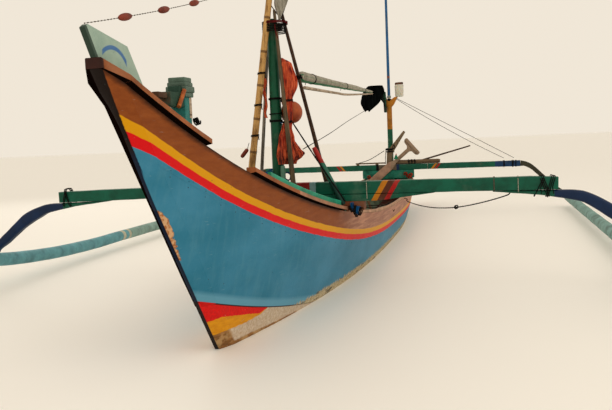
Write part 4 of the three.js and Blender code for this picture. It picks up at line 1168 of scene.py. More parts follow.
class CANOE_OT_camera(CanoeOperator):
    """Set the camera at the photograph's angle"""

    bl_idname = "canoe.camera"
    bl_label = "Camera"

    def build(self, context):
        forward = Vector((-sin(TURN) * cos(DIP), cos(TURN) * cos(DIP), -sin(DIP)))
        right = Vector((cos(TURN), sin(TURN), 0))
        axes = []
        for v in (right, right.cross(forward), -forward):
            heeled = (cos(HEEL) * v.x + sin(HEEL) * v.z, v.y, cos(HEEL) * v.z - sin(HEEL) * v.x)
            axes.append(Vector(heeled))
        turn = Matrix(axes).transposed()
        data = bpy.data.cameras.new("Camera")
        data.lens = LENS
        data.sensor_width = SENSOR
        data.clip_end = FAR_CLIP
        camera = linked("Camera", data)
        camera.matrix_world = Matrix.Translation(EYE) @ turn.to_4x4()
        context.scene.camera = camera


# Cord from the port rail to the fore arm, hanging in one shallow sag
ROPE_START_Y = 0.7
ROPE_START = sheer_edge(ROPE_START_Y)
SLACK_ROPE = [
    (ROPE_START.x + 0.0008, ROPE_START_Y, ROPE_START.z - 0.007),
    (ROPE_START.x + 0.04, ROPE_START_Y - 0.012, ROPE_START.z - 0.011),
    (0.68, 0.421, 0.464), (0.828, 0.002, 0.461), (0.953, -0.347, 0.469), (1.079, -0.696, 0.487),
    (1.204, -1.045, 0.515), (1.329, -1.394, 0.552), (1.454, -1.743, 0.599), (1.58, -2.092, 0.655),
    (1.705, -2.441, 0.717), (1.812, -2.71, 0.774), (1.83, -2.79, 0.7968),
]


class CANOE_OT_slack_rope(CanoeOperator):
    """Hang the slack rope from the port rail to the fore arm"""

    bl_idname = "canoe.slack_rope"
    bl_label = "Slack Rope"

    def build(self, context):
        size = context.scene.canoe_rope.slack
        route = smooth_route(SLACK_ROPE, 150)
        piece = rope_piece("slack_rope_laid", [route], size / 2, nodes=["slack_rope"])
        route_length(route)


class CANOE_OT_planking(CanoeOperator):
    """Build the hollow log and the two strakes of planks on each side"""

    bl_idname = "canoe.planking"
    bl_label = "Planking"

    def build(self, context):
        stations = context.scene.canoe_hull.stations
        self.log(stations)
        strakes = (
            ("side_planks", lambda y: seam_line(y) + STRIP_GAP, band_line, 16, "hull_blue"),
            ("top_planks", lambda y: band_line(y) + STRIP_GAP, sheer, 7, "striped"),
        )
        for name, low, high, levels, slot in strakes:
            grids = [hull_rows(low, high, POST_DEPTH, depth, levels, stations)
                     for depth in (0.0, PLANK)]
            for label, turn in (("port", lambda rows: rows), ("stbd", mirrored)):
                piece = wall_piece(f"{name}_{label}_skin", turn(grids[0]), turn(grids[1]),
                                   paint_lines)
                dress(piece, "hull_paint", [f"{name}_{label}"])
                repaint(piece, "inside", looks_inboard)

    def log(self, stations):
        outer = hull_rows(lambda y: KEEL_Z, seam_line, 0.0, SEAM_LAP, 9, stations)
        solid = wall_piece("log_solid", outer, mirrored(outer), log_lines)
        hollow = hull_rows(lambda y: KEEL_Z + LOG_FLOOR, lambda y: seam_line(y) + 0.06, 0.0,
                           LOG_WALL, 5, 60, 0.1, 0.9)
        cutter = wall_piece("log_hollow", hollow, mirrored(hollow), log_lines)
        modifier = solid.modifiers.new("Hollow", "BOOLEAN")
        modifier.object = cutter
        modifier.solver = "EXACT"
        layer = bpy.context.evaluated_depsgraph_get()
        mesh = bpy.data.meshes.new_from_object(solid.evaluated_get(layer))
        for spare in (solid, cutter):
            bpy.data.objects.remove(spare)
        mesh.set_sharp_from_angle(angle=radians(MESH_EDGE))
        dress(linked("log_shell", mesh), "log_paint", ["keel_log"])


def looks_inboard(face):
    return face.normal.x * face.center.x < 0 and abs(face.normal.x) > 0.3


# Noses of the posts: height, half width and how far aft of the end line they stand
STEM_NOSE = ((0.33, 0.02, 0.0), (1.0, 0.015, 0.003), (1.2, 0.011, 0.018), (1.38, 0.01, 0.032),
             (1.45, 0.016, 0.03), (1.53, 0.029, 0.018), (1.63, 0.034, 0.026))
STERN_NOSE = ((0.33, 0.02, 0.0), (0.58, 0.022, 0.0), (0.82, 0.026, 0.0))
STEM_HEAD = {"half": 0.041, "y": -5.83, "low": 1.63, "top": 1.678}
POST_GAP = 0.0004


class CANOE_OT_posts(CanoeOperator):
    """Build the stem and stern posts that close the planks' ends"""

    bl_idname = "canoe.posts"
    bl_label = "Posts"

    def build(self, context):
        stem = self.post("stem", bow_y, 1, STEM_NOSE)
        count = len(stem.data.polygons)
        stem = join_pieces("stem_post_timber", [stem, self.head_block()])
        dress(stem, "hull_paint", ["stem_post"])
        repaint(stem, "stem_head", lambda face: face.index >= count)
        # Down faces of the head block get the flat near-black painted shade; the post's starboard face
        # gets the same near-black to match the stem's dark paint.
        repaint(stem, "rail_under", lambda face: looks_down(face) if face.index >= count
                else face.center.x < -0.006 and face.normal.x < -0.3)
        stern = self.post("stern_post_timber", stern_y, -1, STERN_NOSE)
        dress(stern, "hull_paint", ["stern_post"])

    def post(self, name, edge, towards, noses):
        """Post lofted through its noses, whose UV starts at its own front face."""
        rings, lines = [], []
        for z in steps_between(noses[0][0], noses[-1][0], 40):
            nose, back_off = table_at(noses, z)
            front = edge(z) + towards * back_off
            back = edge(z) + towards * (POST_DEPTH - POST_GAP)
            side = [(nose * 0.7, front), (nose, front + towards * 0.004)]
            for part in (0.15, 0.35, 0.6, 1.0):
                side.append((blend(nose, half_breadth(back, z), part), blend(front, back, part)))
            rings.append([Vector((x, y, z)) for x, y in side]
                         + [Vector((-x, y, z)) for x, y in reversed(side)])
            fronts = [(abs(y - front), sheer(y) - z) for _, y in side]
            lines.append(fronts + fronts[::-1])
        count = len(rings[0])
        points = [p for ring in rings for p in ring]
        uvs = [spot for row in lines for spot in row]
        return new_piece(name, points, ring_faces(len(rings), count), uvs, TIMBER_EDGE)

    def head_block(self):
        """Block on the stem that the rail strips run into."""
        edge = planks_head()
        back = {"half": edge.x + WALE_OUT, "y": edge.y - SEAT_GAP, "low": edge.z + SEAT_GAP,
                "top": edge.z + SEAT_GAP + WALE_HIGH}
        rings = []
        for part in steps_between(0, 1, 12):
            half, y, low, top = (blend(STEM_HEAD[key], back[key], part) for key in STEM_HEAD)
            cut = WALE_OUT * part
            waist = blend(low + 0.002, top - 0.8 * (top - low), part)
            side = [(half - cut, low), (half, waist), (half, top - 0.004), (half - 0.004, top)]
            rings.append([Vector((p, y, q)) for p, q in side]
                         + [Vector((-p, y, q)) for p, q in reversed(side)])
        return loft_piece("head", rings)


def table_at(rows, place):
    """Values of a table of rows at a place between them."""
    for a, b in zip(rows, rows[1:]):
        if place <= b[0]:
            part = clamp((place - a[0]) / (b[0] - a[0]))
            return [blend(p, q, part) for p, q in zip(a[1:], b[1:])]
    return list(rows[-1][1:])


def strip_section(thick, high, chamfered):
    """Section of a rail as pairs outwards and up, its lower outer part cut back if asked."""
    if not chamfered:
        return rounded_section(thick / 2, high / 2, 0.006)
    out, top = thick / 2, high / 2
    return [(-out, -top), (-out, top - 0.004), (0.004 - out, top), (out - 0.006, top),
            (out - 0.001, top - 0.002), (out, top - 0.006), (out, top - 0.8 * high),
            (out - WALE_OUT, -top)]


def edge_strip(name, start, stop, base, high, out, thick, side, chamfered=False):
    """Strip of timber that follows the planks' top edge."""
    rings, places, run, last = [], [], 0.0, None
    for y in steps_between(start, stop, 60):
        edge = sheer_edge(y)
        spot = Vector((side * (edge.x + out - thick / 2), y, edge.z + base + high / 2))
        run += (spot - last).length if last else 0.0
        last = spot
        wear = 1 - 0.03 * abs(hewn(run, start))
        rings.append([spot + Vector((side * p * wear, 0, q * wear))
                      for p, q in strip_section(thick, high, chamfered)])
        places.append(run)
    return loft_piece(name, rings, along=places)


class CANOE_OT_rails(CanoeOperator):
    """Build the rail strips on the planks' top edge and the washstrakes over them"""

    bl_idname = "canoe.rails"
    bl_label = "Rails"

    def build(self, context):
        head = planks_head().y + 0.001
        for node, start, stop, side in (("wale_port_bow", head, -5.03, 1),
                                        ("wale_port", -4.545, -2.862, 1),
                                        ("wale_stbd", head, -2.862, -1)):
            piece = edge_strip(f"{node}_strip", start, stop, STRIP_GAP, WALE_HIGH, WALE_OUT,
                               WALE_OUT + PLANK, side, chamfered=True)
            dress(piece, "rail", [node])
            # The rail's down faces get flat near-black as painted shade.
            repaint(piece, "rail_under", looks_down)
        for label, side in SIDES:
            piece = edge_strip(f"washstrake_{label}_board", -4.27, -2.925, WALE_HIGH + STRIP_GAP,
                               WASH_HIGH, 0, WASH_THICK, side)
            dress(piece, "turquoise", [f"washstrake_{label}"])
        capping = edge_strip("capping", -2.7, 3.3, STRIP_GAP, 0.03, 0, PLANK - 0.002, 1)
        dress(capping, "capping")
        self.nails()

    def nails(self):
        """Rows of nail heads on both sides of the joint over the side planks."""
        routes = []
        for side in (1, -1):
            for drop in (BAND_DROP - 0.012, BAND_DROP + 0.02):
                spots = []
                for y in steps_between(-5.3, 5.0, 59):
                    z = sheer(y) - drop
                    spots.append(Vector((side * half_breadth(y, z), y, z)))
                routes.append(spots)
        values = {"Spacing": 0.17, "Head Radius": 0.0028, "Finish": finish("iron")}
        studs = stud_tree().run("nail_heads", curve_source(routes), values)
        dress(studs, "iron")


class CANOE_OT_inside_timber(CanoeOperator):
    """Build ribs, stringers, thwarts, decks and floor boards"""

    bl_idname = "canoe.inside_timber"
    bl_label = "Inside Timber"

    RIBS = (-3.65, -2.56, -1.7, -0.9, 0.1, 1.0, 1.9, 2.8, 3.6)

    def build(self, context):
        for label, side in SIDES:
            parts = [self.rib(y, side) for y in self.RIBS] + [self.stringer(side)]
            dress(join_pieces(f"ribs_{label}", parts), "rib_wood", [f"frames_{label}"])
        for name, y in (("thwart_fore", FORE_THWART_Y), ("thwart_mid", -0.3), ("thwart_aft", 2.3)):
            self.board(name, y - THWART_HALF, y + THWART_HALF, lambda _, y=y: thwart_top(y), 1)
        self.board("mast_thwart", MAST_Y - 0.22, MAST_Y + 0.18, lambda y: THWART_Z, 2)
        self.board("fore_deck", -5.3, -4.3, lambda y: sheer(y) - FORE_DECK_DROP, 12, DECK_THICK,
                   "turquoise", "turquoise")
        self.board("aft_deck", 4.4, 5.32, lambda y: sheer(y) - 0.06, 12, DECK_THICK, "turquoise",
                   "turquoise")
        planks = []
        for n in range(3):
            left = -0.12 + n * 0.081
            low, high = (left, -2.7, -0.3097), (left + 0.078, 2.9, -0.285)
            planks.append(rounded_box(f"floor_{n}", low, high, 0.003))
        dress(join_pieces("floor_planks", planks), "rib_wood", ["floor_boards"])

    # Corners of a rib's or stringer's section: along its width, and 1 for the inner face
    CORNERS = ((-1, 0.0), (1, 0.0), (1, 1.0), (-1, 1.0))

    def inboard(self, side, y, z, inset):
        """Point against the planks, or a frame's depth in from there."""
        depth = PLANK - FRAME_LAP + inset * FRAME_DEPTH
        return Vector((side * (half_breadth(y, z) - depth), y, z))

    def rib(self, y, side):
        rings = []
        for z in steps_between(seam_line(y) + 0.04, sheer(y) - 0.025, 14):
            rings.append([self.inboard(side, y + way * RIB_HALF, z, inset)
                          for way, inset in self.CORNERS])
        return loft_piece("rib", rings)

    def stringer(self, side):
        rings = []
        for y in steps_between(-4.35, 4.35, 80):
            low = sheer(y) - STRINGER_DROP
            rings.append([self.inboard(side, y, low + (STRINGER_HIGH if way > 0 else 0.0), inset)
                          for way, inset in self.CORNERS])
        return loft_piece("stringer", rings)

    def board(self, node, start, stop, top_at, steps, thick=BOARD_THICK, look="board_wood",
              slot="raw_wood"):
        """Board across the hull from side to side."""
        rings = []
        for y in steps_between(start, stop, steps):
            z = top_at(y)
            half = half_breadth(y, z) - PLANK + FRAME_LAP
            rings.append([Vector((x, y, h)) for h, x in ((z, -half), (z, half), (z - thick, half),
                                                         (z - thick, -half))])
        piece = loft_piece(f"{node}_board", rings)
        bevel = piece.modifiers.new("Edges", "BEVEL")
        bevel.width = 0.004
        bevel.segments = 2
        dress(piece, look, [node])


BLADE = [
    (-5.908, 1.798), (-5.88, 1.815), (-5.529, 1.759), (-5.384, 1.578), (-5.345, 1.335),
    (-5.5, 1.36), (-5.6, 1.462),
]
BITT_Y = -4.9
BITT_TOP = 1.656


class CANOE_OT_bow_gear(CanoeOperator):
    """Build the carved bow blade and the mooring bitt"""

    bl_idname = "canoe.bow_gear"
    bl_label = "Bow Gear"

    def build(self, context):
        edge = planks_head()
        foot = [(edge.y, edge.z + WALE_HIGH + STRIP_GAP),
                (STEM_HEAD["y"], STEM_HEAD["top"] + SEAT_GAP)]
        blade = slab("bow_blade_board", BLADE + foot, "X", 0.0, 0.03, 0.004)
        dress(blade, "blade_paint", ["bow_blade"])
        base = sheer(BITT_Y) - FORE_DECK_DROP
        parts = [rounded_box("post", (-0.044, BITT_Y - 0.044, base - 0.012),
                             (0.044, BITT_Y + 0.044, BITT_TOP - 0.108), 0.006)]
        for half, low, high in self.TIERS:
            parts.append(rounded_box("tier", (-half, BITT_Y - half, BITT_TOP + low),
                                     (half, BITT_Y + half, BITT_TOP + high), 0.006))
        dress(join_pieces("bitt_carved", parts), "bitt_paint", ["bitt"])
        arm = [rounded_box("arm", low, high, 0.005) for low, high in self.ARM_BOXES]
        dress(join_pieces("bitt_arm", arm), "arm_green")
        strip = rounded_box("edge", (0.0435, BITT_Y + 0.012, 1.43), (0.0465, BITT_Y + 0.044, 1.545),
                            0.001)
        dress(strip, "pale_spar")
        pin = bar("bitt_pin", straight((0.05, -4.96, 1.582), (0.05, -5.05, 1.488), 8),
                  lambda part, turn: 0.012, 12)
        dress(pin, "orange_paint")

    # Half width and heights below the top of the bitt's carved tiers
    TIERS = ((0.056, -0.11, -0.083), (0.062, -0.085, -0.05), (0.055, -0.052, -0.027),
             (0.05, -0.029, 0.0))
    # Low and high corners of the arm that points forward from the bitt
    ARM_BOXES = (
        ((-0.038, -5.12, 1.49), (0.038, -4.943, 1.568)),
        ((-0.036, -4.99, 1.5), (0.036, -4.943, 1.606)),
        ((-0.02, -5.23, 1.532), (0.02, -5.115, 1.563)),
    )


def timber_x(name, xs, y, half_wide, low_at, top_at, seed):
    """Timber along X between a lower and an upper line."""
    spots = []
    for x in xs:
        low, top = low_at(x), top_at(x)
        spots.append(((x, y, (low + top) / 2), half_wide, (top - low) / 2))
    return beam(name, spots, (0, 1, 0), 0.008, 0.002, seed)


def taper(x, start, stop, first, last):
    return blend(first, last, clamp((x - start) / (stop - start)))


class CANOE_OT_cross_booms(CanoeOperator):
    """Build the cross booms, their doubler and their bearers"""

    bl_idname = "canoe.cross_booms"
    bl_label = "Cross Booms"

    def build(self, context):
        top = FORE_BOOM_Z + FORE_BOOM_HIGH
        port = timber_x("fore_boom_port_timber", steps_between(-0.9, BOOM_REACH, 60), FORE_BOOM_Y,
                        TIMBER_HALF, lambda x: FORE_BOOM_Z,
                        lambda x: taper(x, 2.0, BOOM_REACH, top, top - 0.007), 1.0)
        dress(port, "fore_port", ["fore_boom_port"])
        stbd = timber_x("fore_boom_stbd_timber", steps_between(1.0, -BOOM_REACH, 60), STBD_BOOM_Y,
                        TIMBER_HALF, lambda x: taper(x, -1.0, -BOOM_REACH, FORE_BOOM_Z,
                                                     FORE_BOOM_Z - 0.024),
                        lambda x: taper(x, -1.0, -BOOM_REACH, top - 0.006, top - 0.027), 2.0)
        dress(stbd, "fore_stbd", ["fore_boom_stbd"])
        under = FORE_BOOM_Z - SEAT_GAP
        outline = [(-0.85, under), (-0.7, under - 0.054), (0.8, under - 0.054), (1.25, under)]
        doubler = slab("doubler_timber", outline, "Y", FORE_BOOM_Y, 2 * TIMBER_HALF, 0.002)
        dress(doubler, "doubler", ["fore_doubler"])
        aft = timber_x("aft_boom_timber", steps_between(-BOOM_REACH, BOOM_REACH, 90), AFT_BOOM_Y,
                       AFT_BOOM_HALF, lambda x: AFT_BOOM_Z,
                       lambda x: AFT_BOOM_Z + AFT_BOOM_HIGH, 3.0)
        dress(aft, "aft_boom", ["aft_boom"])
        for node, look, slot in (("fore_bearer", "bearer", "rail"),
                                 ("aft_bearer", "aft_bearer", "brown_wood")):
            dress(rounded_box(f"{node}_timber", *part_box(node), 0.008), look, [node])


FORE_ARM_TOP = [(1.7, 0.819), (1.95, 0.819), (2.19, 0.817), (2.333, 0.81), (2.418, 0.79),
                (2.58, 0.7), (2.76, 0.56), (2.9, 0.44), (2.96, 0.355)]
FORE_ARM_FOOT = [(1.7, 0.812), (1.99, 0.783), (2.17, 0.758), (2.33, 0.727), (2.425, 0.684),
                 (2.58, 0.576), (2.79, 0.42), (2.9, 0.35), (2.93, 0.31)]
AFT_ARM_TOP = [(2.195, 0.8), (2.3, 0.77), (2.4, 0.705), (2.535, 0.575), (2.7, 0.41),
               (2.86, 0.29), (2.985, 0.228)]
AFT_ARM_FOOT = [(2.195, 0.702), (2.26, 0.7), (2.36, 0.65), (2.48, 0.54), (2.66, 0.37),
                (2.8, 0.262), (2.93, 0.17)]


class CANOE_OT_arms(CanoeOperator):
    """Build the four crooked arms that reach down to the floats"""

    bl_idname = "canoe.arms"
    bl_label = "Outrigger Arms"

    def build(self, context):
        for label, side in SIDES:
            low = 0.024 if side < 0 else 0.0
            y = FORE_BOOM_Y if side > 0 else STBD_BOOM_Y
            fore = self.crook(f"fore_arm_{label}_timber", FORE_ARM_TOP, FORE_ARM_FOOT, 0.045, y,
                              side, low)
            dress(fore, "arm_paint", [f"fore_arm_{label}"])
            aft = self.crook(f"aft_arm_{label}_timber", AFT_ARM_TOP, AFT_ARM_FOOT, 0.04,
                             AFT_BOOM_Y, side, 0.0)
            dress(aft, "aft_arm", [f"aft_arm_{label}"])

    def crook(self, name, top, foot, half_wide, y, side, low):
        """Crooked timber on one side, its inner end lowered under a boom that slopes."""
        def turned(pairs):
            return [(side * x, z - (low * clamp((x - 1.0) / 1.19) if x < 2.5 else 0))
                    for x, z in pairs]
        spots = crook_spots(turned(top), turned(foot), half_wide, y, 44)
        return beam(name, spots, (0, side, 0), 0.02, 0.0025, y)


class CANOE_OT_floats(CanoeOperator):
    """Build the two long floats that turn up at the bow"""

    bl_idname = "canoe.floats"
    bl_label = "Floats"

    def build(self, context):
        for label, side in SIDES:
            spots = [(side * FLOAT_X, y, float_z(y))
                     for y in steps_between(FLOAT_AFT_Y, FLOAT_FORE_Y, 8)]
            route = smooth_route(spots, 150)

            def radius_at(part, turn, side=side):
                slim = 1 - 0.45 * ((part - 0.8) / 0.2) ** 1.5 if part > 0.8 else 1.0
                near = min(1.0, min(part, 1 - part) / FLOAT_ROUNDING)
                end = sqrt(1 - (1 - near) ** 2)
                knots = 0.0016 * hewn(part * 8.5 + cos(turn) * 0.2, side + turn)
                return max(0.012, FLOAT_RADIUS * slim * max(0.35, end) + knots)
            piece = bar(f"float_{label}_log", route, radius_at, 22)
            dress(piece, f"float_{label}", [f"float_{label}"])


# Poles: node, foot, head, radius at each end, finish, slot, knot spacing and knot height
POLES = (
    ("mast", (MAST_X, MAST_Y, -0.282), (MAST_X, MAST_Y, 2.265), 0.056, 0.042, "mast_paint",
     "green", 0.5, 0.0),
    ("bamboo_pole", (-0.274, -3.04, 0.669), (0.051, -3.018, 2.75), 0.029, 0.024, "bamboo",
     "bamboo", 0.27, 0.0022),
    ("grey_pole", (-0.212, -2.88, 0.6655), (-0.04, -2.905, 2.33), 0.015, 0.012, "grey_wood",
     "raw_wood", 0.34, 0.001),
    ("side_spar", (0.16, -3.06, 0.6665), (0.028, -2.998, 2.33), 0.023, 0.012, "spar_wood",
     "raw_wood", 0.5, 0.0008),
    ("dark_spar", (0.33, -2.3, thwart_top(FORE_THWART_Y) + 0.009), (0.066, -2.925, 2.33), 0.02, 0.013,
     "dark_wood", "brown_wood", 0.4, 0.0008),
    ("mast_cheek", (0.052, -3.032, THWART_Z), (0.052, -3.032, 1.08), 0.022, 0.02,
     "cheek_paint", "pale_green", 0.5, 0.0),
    ("signal_pole", (CRUTCH_X, CRUTCH_Y, 1.9003), (CRUTCH_X, CRUTCH_Y, 3.9), 0.025, 0.02,
     "pole_paint", "pole_blue", 0.6, 0.0004),
    ("cross_pole", (0.13, AFT_BOOM_Y, 0.8363), (0.885, AFT_BOOM_Y, 0.8363), 0.036, 0.036,
     "gear_wood", "raw_wood", 0.3, 0.001),
    ("red_top_stick", (0.512, -2.888, sheer(-2.888) + WALE_HIGH + 0.014),
     (0.283, -2.892, 1.217), 0.025, 0.02, "stick_paint", "green", 0.5, 0.0004),
)


class CANOE_OT_poles(CanoeOperator):
    """Build the mast, the tripod's spars and the other round poles"""

    bl_idname = "canoe.poles"
    bl_label = "Mast and Poles"

    def build(self, context):
        for seed, row in enumerate(POLES):
            node, foot, head, first, last, look, slot, spacing, knot = row
            length = (Vector(head) - Vector(foot)).length
            steps = max(10, int(length / 0.03))

            def radius_at(part, turn, first=first, last=last, spacing=spacing, knot=knot,
                          length=length, seed=seed):
                place = part * length
                near = abs((place / spacing) % 1 - 0.5) * 2
                swell = knot * max(0.0, (near - 0.8) / 0.2) ** 2
                rounding = min(1.0, 0.8 + min(part, 1 - part) * length / 0.03)
                uneven = 0.012 * hewn(place * 0.7 + cos(turn) * 0.3, seed)
                return blend(first, last, part) * (1 + uneven) * rounding + swell
            piece = bar(f"{node}_round", straight(foot, head, steps), radius_at, 20)
            count = len(piece.data.polygons)
            if node == "cross_pole":
                piece = join_pieces("cross_poles", [piece, self.thin_stick()])
            dress(piece, look, [node])
            if node == "cross_pole":
                repaint(piece, "dark_wood", lambda face, count=count: face.index >= count)

    def thin_stick(self):
        """Thin dark stick that slants up from the pole on the aft boom."""
        y = AFT_BOOM_Y + 0.022
        route = straight((0.48, y, 0.8303), (1.391, y, 1.0713), 30)
        return bar("thin_stick", route, lambda part, turn: 0.0155 - 0.004 * part, 14)


# Folded cloth bodies as ovals: height, x, half width and half depth
SAIL_BUNDLE = (
    (2.2455, 0.066, 0.01, 0.01), (2.395, 0.084, 0.062, 0.052), (2.62, 0.118, 0.084, 0.066),
    (3.2, 0.128, 0.078, 0.064), (3.9, 0.134, 0.052, 0.044), (4.5, 0.138, 0.02, 0.018),
)
NET_BUNDLE = (
    (1.946, 0.066, 0.016, 0.014), (1.895, 0.1, 0.056, 0.034), (1.734, 0.122, 0.08, 0.042),
    (1.602, 0.098, 0.05, 0.038), (1.49, 0.112, 0.032, 0.038), (1.392, 0.088, 0.046, 0.038),
    (1.3, 0.08, 0.072, 0.046), (1.165, 0.082, 0.104, 0.052), (1.09, 0.076, 0.084, 0.048),
)
NET_CORNER = (
    (1.27, 0.14, 0.018, 0.03), (1.21, 0.168, 0.03, 0.03), (1.175, 0.186, 0.046, 0.026),
    (1.145, 0.168, 0.04, 0.026), (1.11, 0.14, 0.02, 0.026),
)


def folded_body(name, rows, y, folds, depth, levels, twist):
    """Bundle of cloth with lengthwise folds through a table of ovals."""
    sides = 64
    spine = smooth_route([(x, 0, z) for z, x, _, _ in rows], levels)
    heights = [z for z, _, _, _ in rows]
    rings, places = [], []
    for point in spine:
        z = clamp(point.z, min(heights), max(heights))
        wide, deep = between_rows(rows, z)
        ring = []
        for j in range(sides):
            turn = 2 * pi * j / sides
            wave = sum(share * sin(turn * count + shift + twist * z)
                       for count, share, shift in folds)
            reach = 1 - depth + depth * wave
            ring.append(Vector((point.x + wide * reach * cos(turn), y + deep * reach * sin(turn),
                                point.z)))
        rings.append(ring)
        places.append(point.z)
    return loft_piece(name, rings, CLOTH_EDGE, places)


def between_rows(rows, z):
    """Half width and half depth at a height, eased between the table's rows."""
    for a, b in zip(rows, rows[1:]):
        if min(a[0], b[0]) <= z <= max(a[0], b[0]):
            part = (z - a[0]) / (b[0] - a[0])
            ease = part * part * (3 - 2 * part)
            return blend(a[2], b[2], ease), blend(a[3], b[3], ease)
    return rows[-1][2], rows[-1][3]


class CANOE_OT_bundles(CanoeOperator):
    """Build the standing sail bundle, the hanging net and the ball float"""

    bl_idname = "canoe.bundles"
    bl_label = "Sail and Net Bundles"

    def build(self, context):
        folds = ((5, 0.5, 0.4), (9, 0.32, 1.9), (14, 0.18, 0.7))
        bundle = folded_body("sail_bundle_cloth", SAIL_BUNDLE, -2.99, folds, 0.2, 110, 2.4)
        dress(bundle, "sail_bundle", ["sail_bundle"])
        folds = ((7, 0.45, 0.0), (13, 0.35, 1.1), (21, 0.2, 2.3))
        net = folded_body("net_bundle_cloth", NET_BUNDLE, -2.988, folds, 0.17, 90, 1.5)
        dress(net, "net", ["net_bundle"])
        corner = folded_body("net_corner_cloth", NET_CORNER, -2.985, folds, 0.2, 30, 1.5)
        dress(corner, "net")
        route = straight((0.098, -2.86, 1.4195), (0.098, -2.86, 1.6065), 28)

        def radius_at(part, turn):
            lobes = 1 - 0.02 * abs(sin(turn * 4))
            return max(0.004, 0.0935 * sqrt(max(0.0, 1 - (2 * part - 1) ** 2)) * lobes)
        ball = bar("ball_float_round", route, radius_at, 32, 70)
        dress(ball, "ball", ["ball_float"])


HINGE = Vector((0.145, -2.698, 1.814))
BOOM_TIP = Vector((-0.214, 3.72, 2.046))
BOOM_ROLL = ((0.0, 0.018), (0.004, 0.04), (0.011, 0.049), (0.34, 0.041), (0.62, 0.04), (1.0, 0.02))
BOOM_SPAR = [(0.172, -2.668, 1.722), (0.048, -0.7, 1.786), (-0.028, 0.5, 1.832),
             (-0.203, 3.735, 2.016)]
ROLL_TIES = (0.085, 0.45, 0.8)


def roll_radius(part):
    return table_at(BOOM_ROLL, part)[0]


class CANOE_OT_sail_boom(CanoeOperator):
    """Build the furled sail on its lifting boom, its spar, ties and black cloth"""

    bl_idname = "canoe.sail_boom"
    bl_label = "Sail Boom"

    def build(self, context):
        def radius_at(part, turn):
            pinch = sum(0.13 * max(0.0, 1 - abs(part - tie) / 0.006) for tie in ROLL_TIES)
            layers = 0.05 * sin(turn * 3 + part * 9) + 0.025 * sin(turn * 8 - part * 60)
            return roll_radius(part) * (0.94 + layers - pinch)
        roll = bar("furled_sail", straight(HINGE, BOOM_TIP, 260), radius_at, 32, 60)
        eye = bar("eye", straight(HINGE - Vector((0.03, 0, 0)), HINGE + Vector((0.03, 0, 0)), 4),
                  lambda part, turn: 0.0195, 20)
        dress(join_pieces("furled_boom_cloth", [roll, eye]), "sail",
              ["furled_boom"], BOOM)
        spar = bar("boom_spar_round", smooth_route(BOOM_SPAR, 120),
                   lambda part, turn: blend(0.015, 0.011, part), 16)
        dress(spar, "pale_spar", ["boom_spar"], BOOM)
        axis = (BOOM_TIP - HINGE).normalized()
        ties = []
        for part, tail in zip(ROLL_TIES, (0.05, 0.05, 0.0)):
            reach = roll_radius(part) * 0.97
            ties.append(windings(HINGE.lerp(BOOM_TIP, part), axis, (1, 0, 0), reach, reach, 2.5,
                                 0.009, tail=tail))
        rope_piece("sail_ties", ties, 0.0035, body=BOOM)
        self.cloth()

    def cloth(self):
        """Black cloth gathered over the boom's end in hanging folds."""
        centre = Vector((-0.205, 3.738, 2.046))
        count, levels = 72, 26
        rings = []
        for part in steps_between(0, 1, levels):
            z = blend(2.15, 1.742, part)
            wide = 0.045 + 0.125 * sin(pi * clamp(part * 0.9 + 0.12)) ** 0.7
            x = centre.x + 0.045 - 0.15 * part
            ring = []
            for j in range(count):
                turn = 2 * pi * j / count
                folds = 0.12 * sin(turn * 5 + part * 3) + 0.1 * sin(turn * 9 - part * 6 + 1.3)
                ragged = 0.03 * sin(turn * 4 + 0.6) * part
                ring.append(Vector((x + wide * (1 + folds) * cos(turn),
                                    centre.y + 0.05 * (1 + folds) * sin(turn), z + ragged)))
            rings.append(ring)
        piece = loft_piece("black_cloth_gathered", rings, CLOTH_EDGE, steps_between(0, 1, levels))
        dress(piece, "black_cloth", ["cloth_bundle"], BOOM)


STUB_OUTLINE = [(-0.02, AFT_TOP_Z), (0.075, AFT_TOP_Z), (0.088, 0.99), (0.18, 1.13), (0.318, 1.345),
                (0.286, 1.372), (0.13, 1.185), (-0.005, 1.03)]
STRAP_OUTLINE = [(-0.095, 2.0), (-0.03, 2.055), (0.002, 2.04), (0.01, 1.9), (0.012, 1.692),
                 (-0.03, 1.692), (-0.038, 1.85), (-0.09, 1.93)]
PADDLE_HALF = [(0, 0), (0, 0.165), (0.022, 0.172), (0.062, 0.166), (0.084, 0.14), (0.092, 0.06),
               (0.12, 0.033), (0.42, 0.031), (0.52, 0.066), (0.96, 0.07), (1.01, 0.04), (1.02, 0)]
PADDLE_GRIP = (0.452, 1.118)
PADDLE_SLOPE = atan2(532, 632)
LID_SLOPE = 0.04


